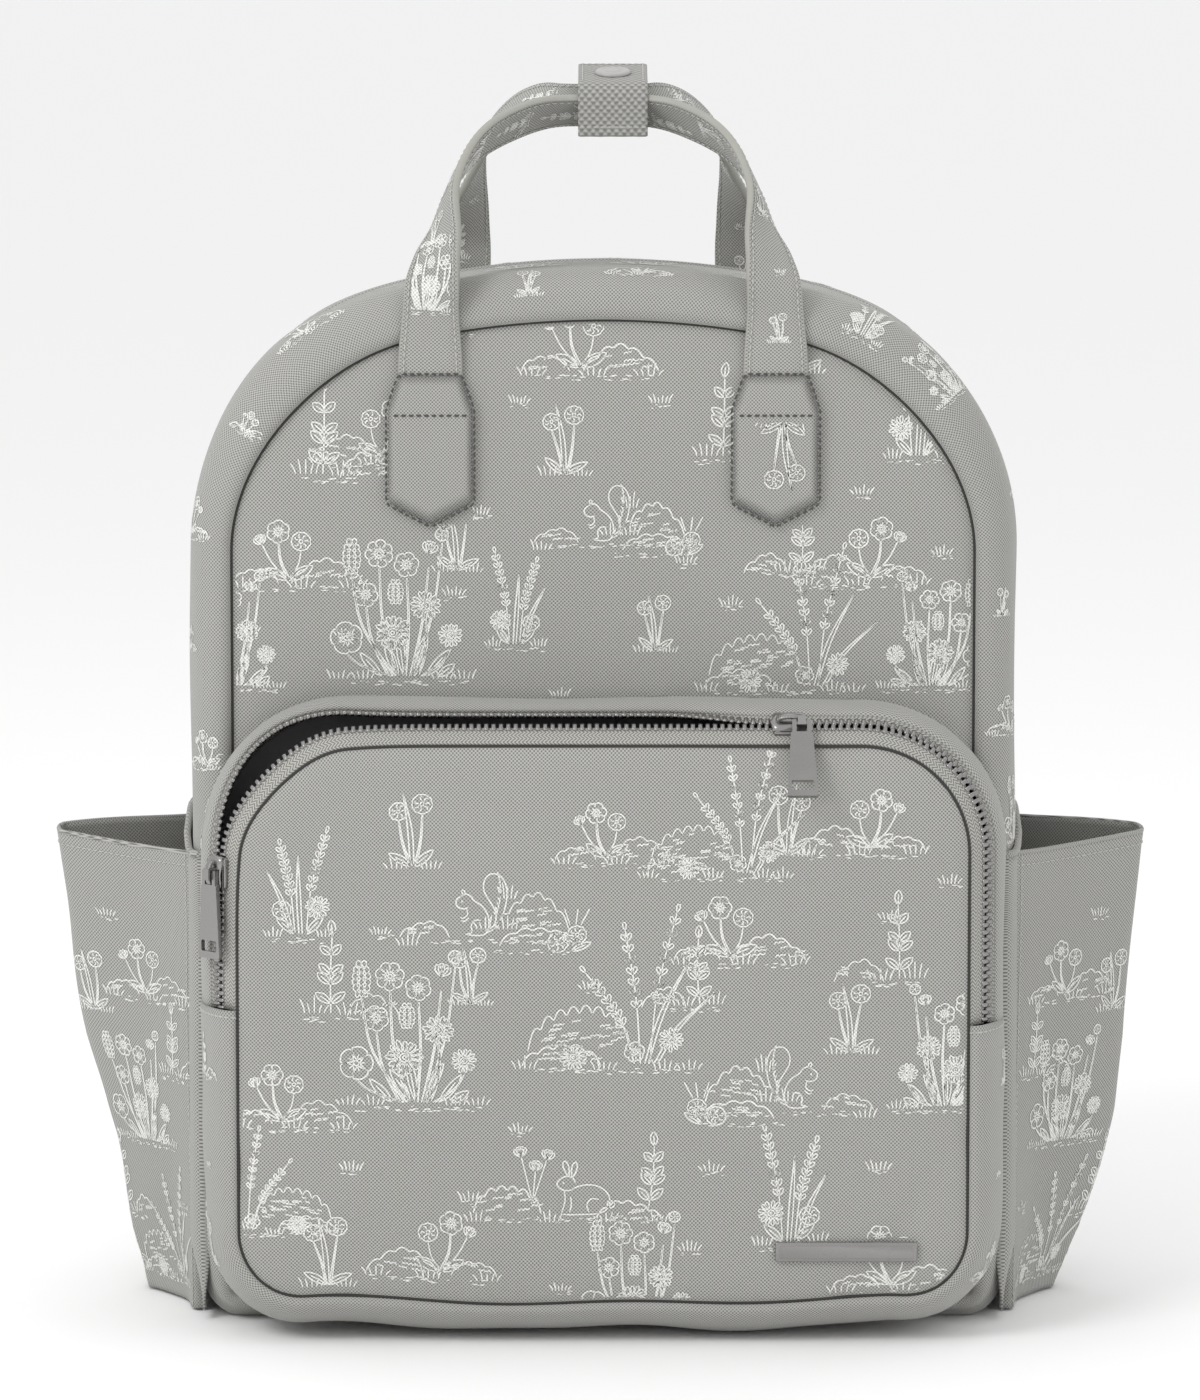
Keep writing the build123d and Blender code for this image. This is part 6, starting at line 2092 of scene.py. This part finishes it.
b = Build()
zl = float(zs[-1])
keep_u = lambda q: (q[:, 1] > 2.0) & (q[:, 1] < float(ugv[-1]) - 1.5) & (q[:, 0] > 2) & (q[:, 0] < zl - 2)
spots = [(u, 16 + 4 * math.sin(u), 0.6) for u in np.arange(24, zl - 10, 38)]
scatter(b, map_upper, spots, keep_u, lambda u: -math.pi / 2 if u < 90 else (math.pi / 2 if u > zl - 90 else 0.0), seeds="CGFt")
keep_l = lambda q: (q[:, 1] > 5.0) & (q[:, 1] < float(lv[-1]) - 1.5) & (q[:, 0] > 4) & (q[:, 0] < float(ls[-1]) - 4)
spots = [(u, 24 + 4 * math.sin(u), 0.6) for u in list(np.arange(26, 110, 36)) + list(np.arange(float(ls[-1]) - 100, float(ls[-1]) - 10, 36))]
scatter(b, map_lower, spots, keep_l, lambda u: math.pi / 2 if u < 150 else -math.pi / 2, seeds="CGFt")
pr = b.obj("print_pocket_gusset", print_mat)
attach(pr, "body")

for side, nm in ((-1, "left"), (1, "right")):
    mp, wmax = side_maps[nm]
    b = Build()
    keep_s = lambda q: (q[:, 0] > 5) & (q[:, 0] < wmax - 5) & (q[:, 1] > 4) & (q[:, 1] < 179)
    for key, fw, z, sc in (("A", 0.27, 66, 0.66), ("D", 0.25, 10, 0.7), ("C", 0.22, 128, 0.9), ("G", 0.40, 118, 0.8), ("t", 0.33, 158, 1.1), ("F", 0.44, 34, 0.9),
                           ("I", 0.62, 88, 0.8), ("C", 0.72, 30, 0.9), ("G", 0.80, 132, 0.85), ("A", 0.74, 70, 0.6), ("t", 0.58, 150, 1.1), ("F", 0.12, 96, 0.8), ("t", 0.10, 40, 1.1), ("t", 0.88, 84, 1.1), ("C", 0.56, 12, 0.8)):
        draw(b, SCENES[key](), (fw * wmax, z), mp, keep_s, scale=sc * (1.0 if key == "t" else 1.3), flip=(side < 0))
    pr = b.obj(f"print_side_pocket_{nm}", print_mat)
    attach(pr, "body")


class OnStrap:
    """A handle's face as a surface: u along it, v across it."""

    def __init__(self, c, e, n, L, k, sgn):
        self.rows = np.hstack([c, e, n])
        self.L, self.k, self.s = L, k, sgn

    def __call__(self, q):
        r = np.stack([np.interp(q[:, 0], self.L, self.rows[:, i]) for i in range(9)], 1)
        h = self.k + 0.35 * (1 - (q[:, 1] / 11.0) ** 2)
        return r[:, :3] + r[:, 3:6] * q[:, 1:2] + r[:, 6:9] * (self.s * h)[:, None], r[:, 6:9] * self.s


for nm, (c, e, n, L), body in (("front", fh_map, None), ("rear", rh_map, "body")):
    b = Build()
    tot = float(L[-1])
    for sgn in (1, -1):
        surf = OnStrap(c, e, n, L, 1.5, sgn)
        keep_h = lambda q: (np.abs(q[:, 1]) < 8.2) & (q[:, 0] > 3) & (q[:, 0] < tot - 3)
        for i, u in enumerate(np.arange(14, tot - 8, 27)):
            key = "CGFtAF"[int(rng.integers(0, 6))]
            rot = (-math.pi / 2 if u < tot / 2 else math.pi / 2) * sgn
            draw(b, SCENES[key](), (u, rng.uniform(-4, 4)), surf, keep_h, scale=rng.uniform(0.5, 0.75), rot=rot, flip=bool(rng.integers(0, 2)), width=0.55)
    pr = b.obj(f"print_handle_{nm}", print_mat)
    if body:
        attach(pr, body)
    else:
        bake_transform(pr)

for side, nm in ((1, "right"),):
    b = Build()
    cx = 68.5 * side

    def on_patch(q):
        return np.stack([q[:, 0], np.full(len(q), -76.25), q[:, 1]], 1), np.tile([0, -1.0, 0], (len(q), 1))

    keep_p = lambda q: in_box(q, cx - 12.6, cx + 12.6, 330, 363.5)
    draw(b, SCENES["G"](), (cx + 3, 364), on_patch, keep_p, scale=1.15, rot=math.pi, width=0.55)
    pr = b.obj(f"print_house_{nm}", print_mat)
    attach(pr, "flap")


# ---------------------------------------------------------------- camera, floor and light
cam_data = bpy.data.cameras.new("camera")
cam = bpy.data.objects.new("camera", cam_data)
scene.collection.objects.link(cam)
elev, dist = math.radians(6.5), 2.6
target = Vector((-0.0012, 0.0, 0.244))
cam.location = target + Vector((0, -math.cos(elev) * dist, math.sin(elev) * dist))
cam.rotation_euler = (math.radians(90) - elev, 0, 0)
cam_data.sensor_fit = "VERTICAL"
cam_data.sensor_height = 36
cam_data.lens = 163
cam_data.clip_end = 1000
scene.camera = cam

xs = np.concatenate([[-300, -80, -20], np.linspace(-4, 4, 33), [20, 80, 300]])
X, Y = np.meshgrid(xs, xs, indexing="ij")
P = np.stack([X, Y, np.full(X.shape, -0.00015)], -1) / MM
U, V = X, Y
floor_mat, nt, bs = new_mat("floor_paper")
bs.inputs["Base Color"].default_value = (0.95, 0.95, 0.95, 1)
bs.inputs["Roughness"].default_value = 0.9
bs.inputs["Specular IOR Level"].default_value = 0.1
floor = grid_obj("floor_paper", P, np.stack([U, V], -1), floor_mat)

world = bpy.data.worlds.new("world")
scene.world = world
world.use_nodes = True
bg = world.node_tree.nodes["Background"]
bg.inputs[0].default_value = (1.0, 1.0, 1.0, 1)
bg.inputs[1].default_value = 0.93


def area(name, loc, look, size, power, col=(1, 1, 1)):
    d = bpy.data.lights.new(name, "AREA")
    d.shape = "RECTANGLE"
    d.size, d.size_y = size
    d.energy = power
    d.color = col
    o = bpy.data.objects.new(name, d)
    o.location = loc
    v = Vector(look) - Vector(loc)
    o.rotation_euler = v.to_track_quat("-Z", "Y").to_euler()
    scene.collection.objects.link(o)
    return o


area("key", (-1.7, -1.9, 2.1), (0, 0, 0.2), (1.1, 1.1), 30)
area("fill", (1.9, -2.2, 1.0), (0, 0, 0.25), (1.6, 1.6), 4)
area("top", (0.0, 0.5, 2.4), (0, 0, 0.2), (1.8, 1.4), 6)

scene.view_settings.view_transform = "Standard"
scene.view_settings.look = "None"

for ob in list(scene.objects):
    if ob.type != "MESH" or ob.name in nodes or ob is floor or ob.name.startswith("print") or "stitches" in ob.name:
        continue
    bm = bmesh.new()
    bm.from_mesh(ob.data)
    if all(len(e.link_faces) == 2 for e in bm.edges):
        bmesh.ops.recalc_face_normals(bm, faces=bm.faces)
        bm.to_mesh(ob.data)
    bm.free()
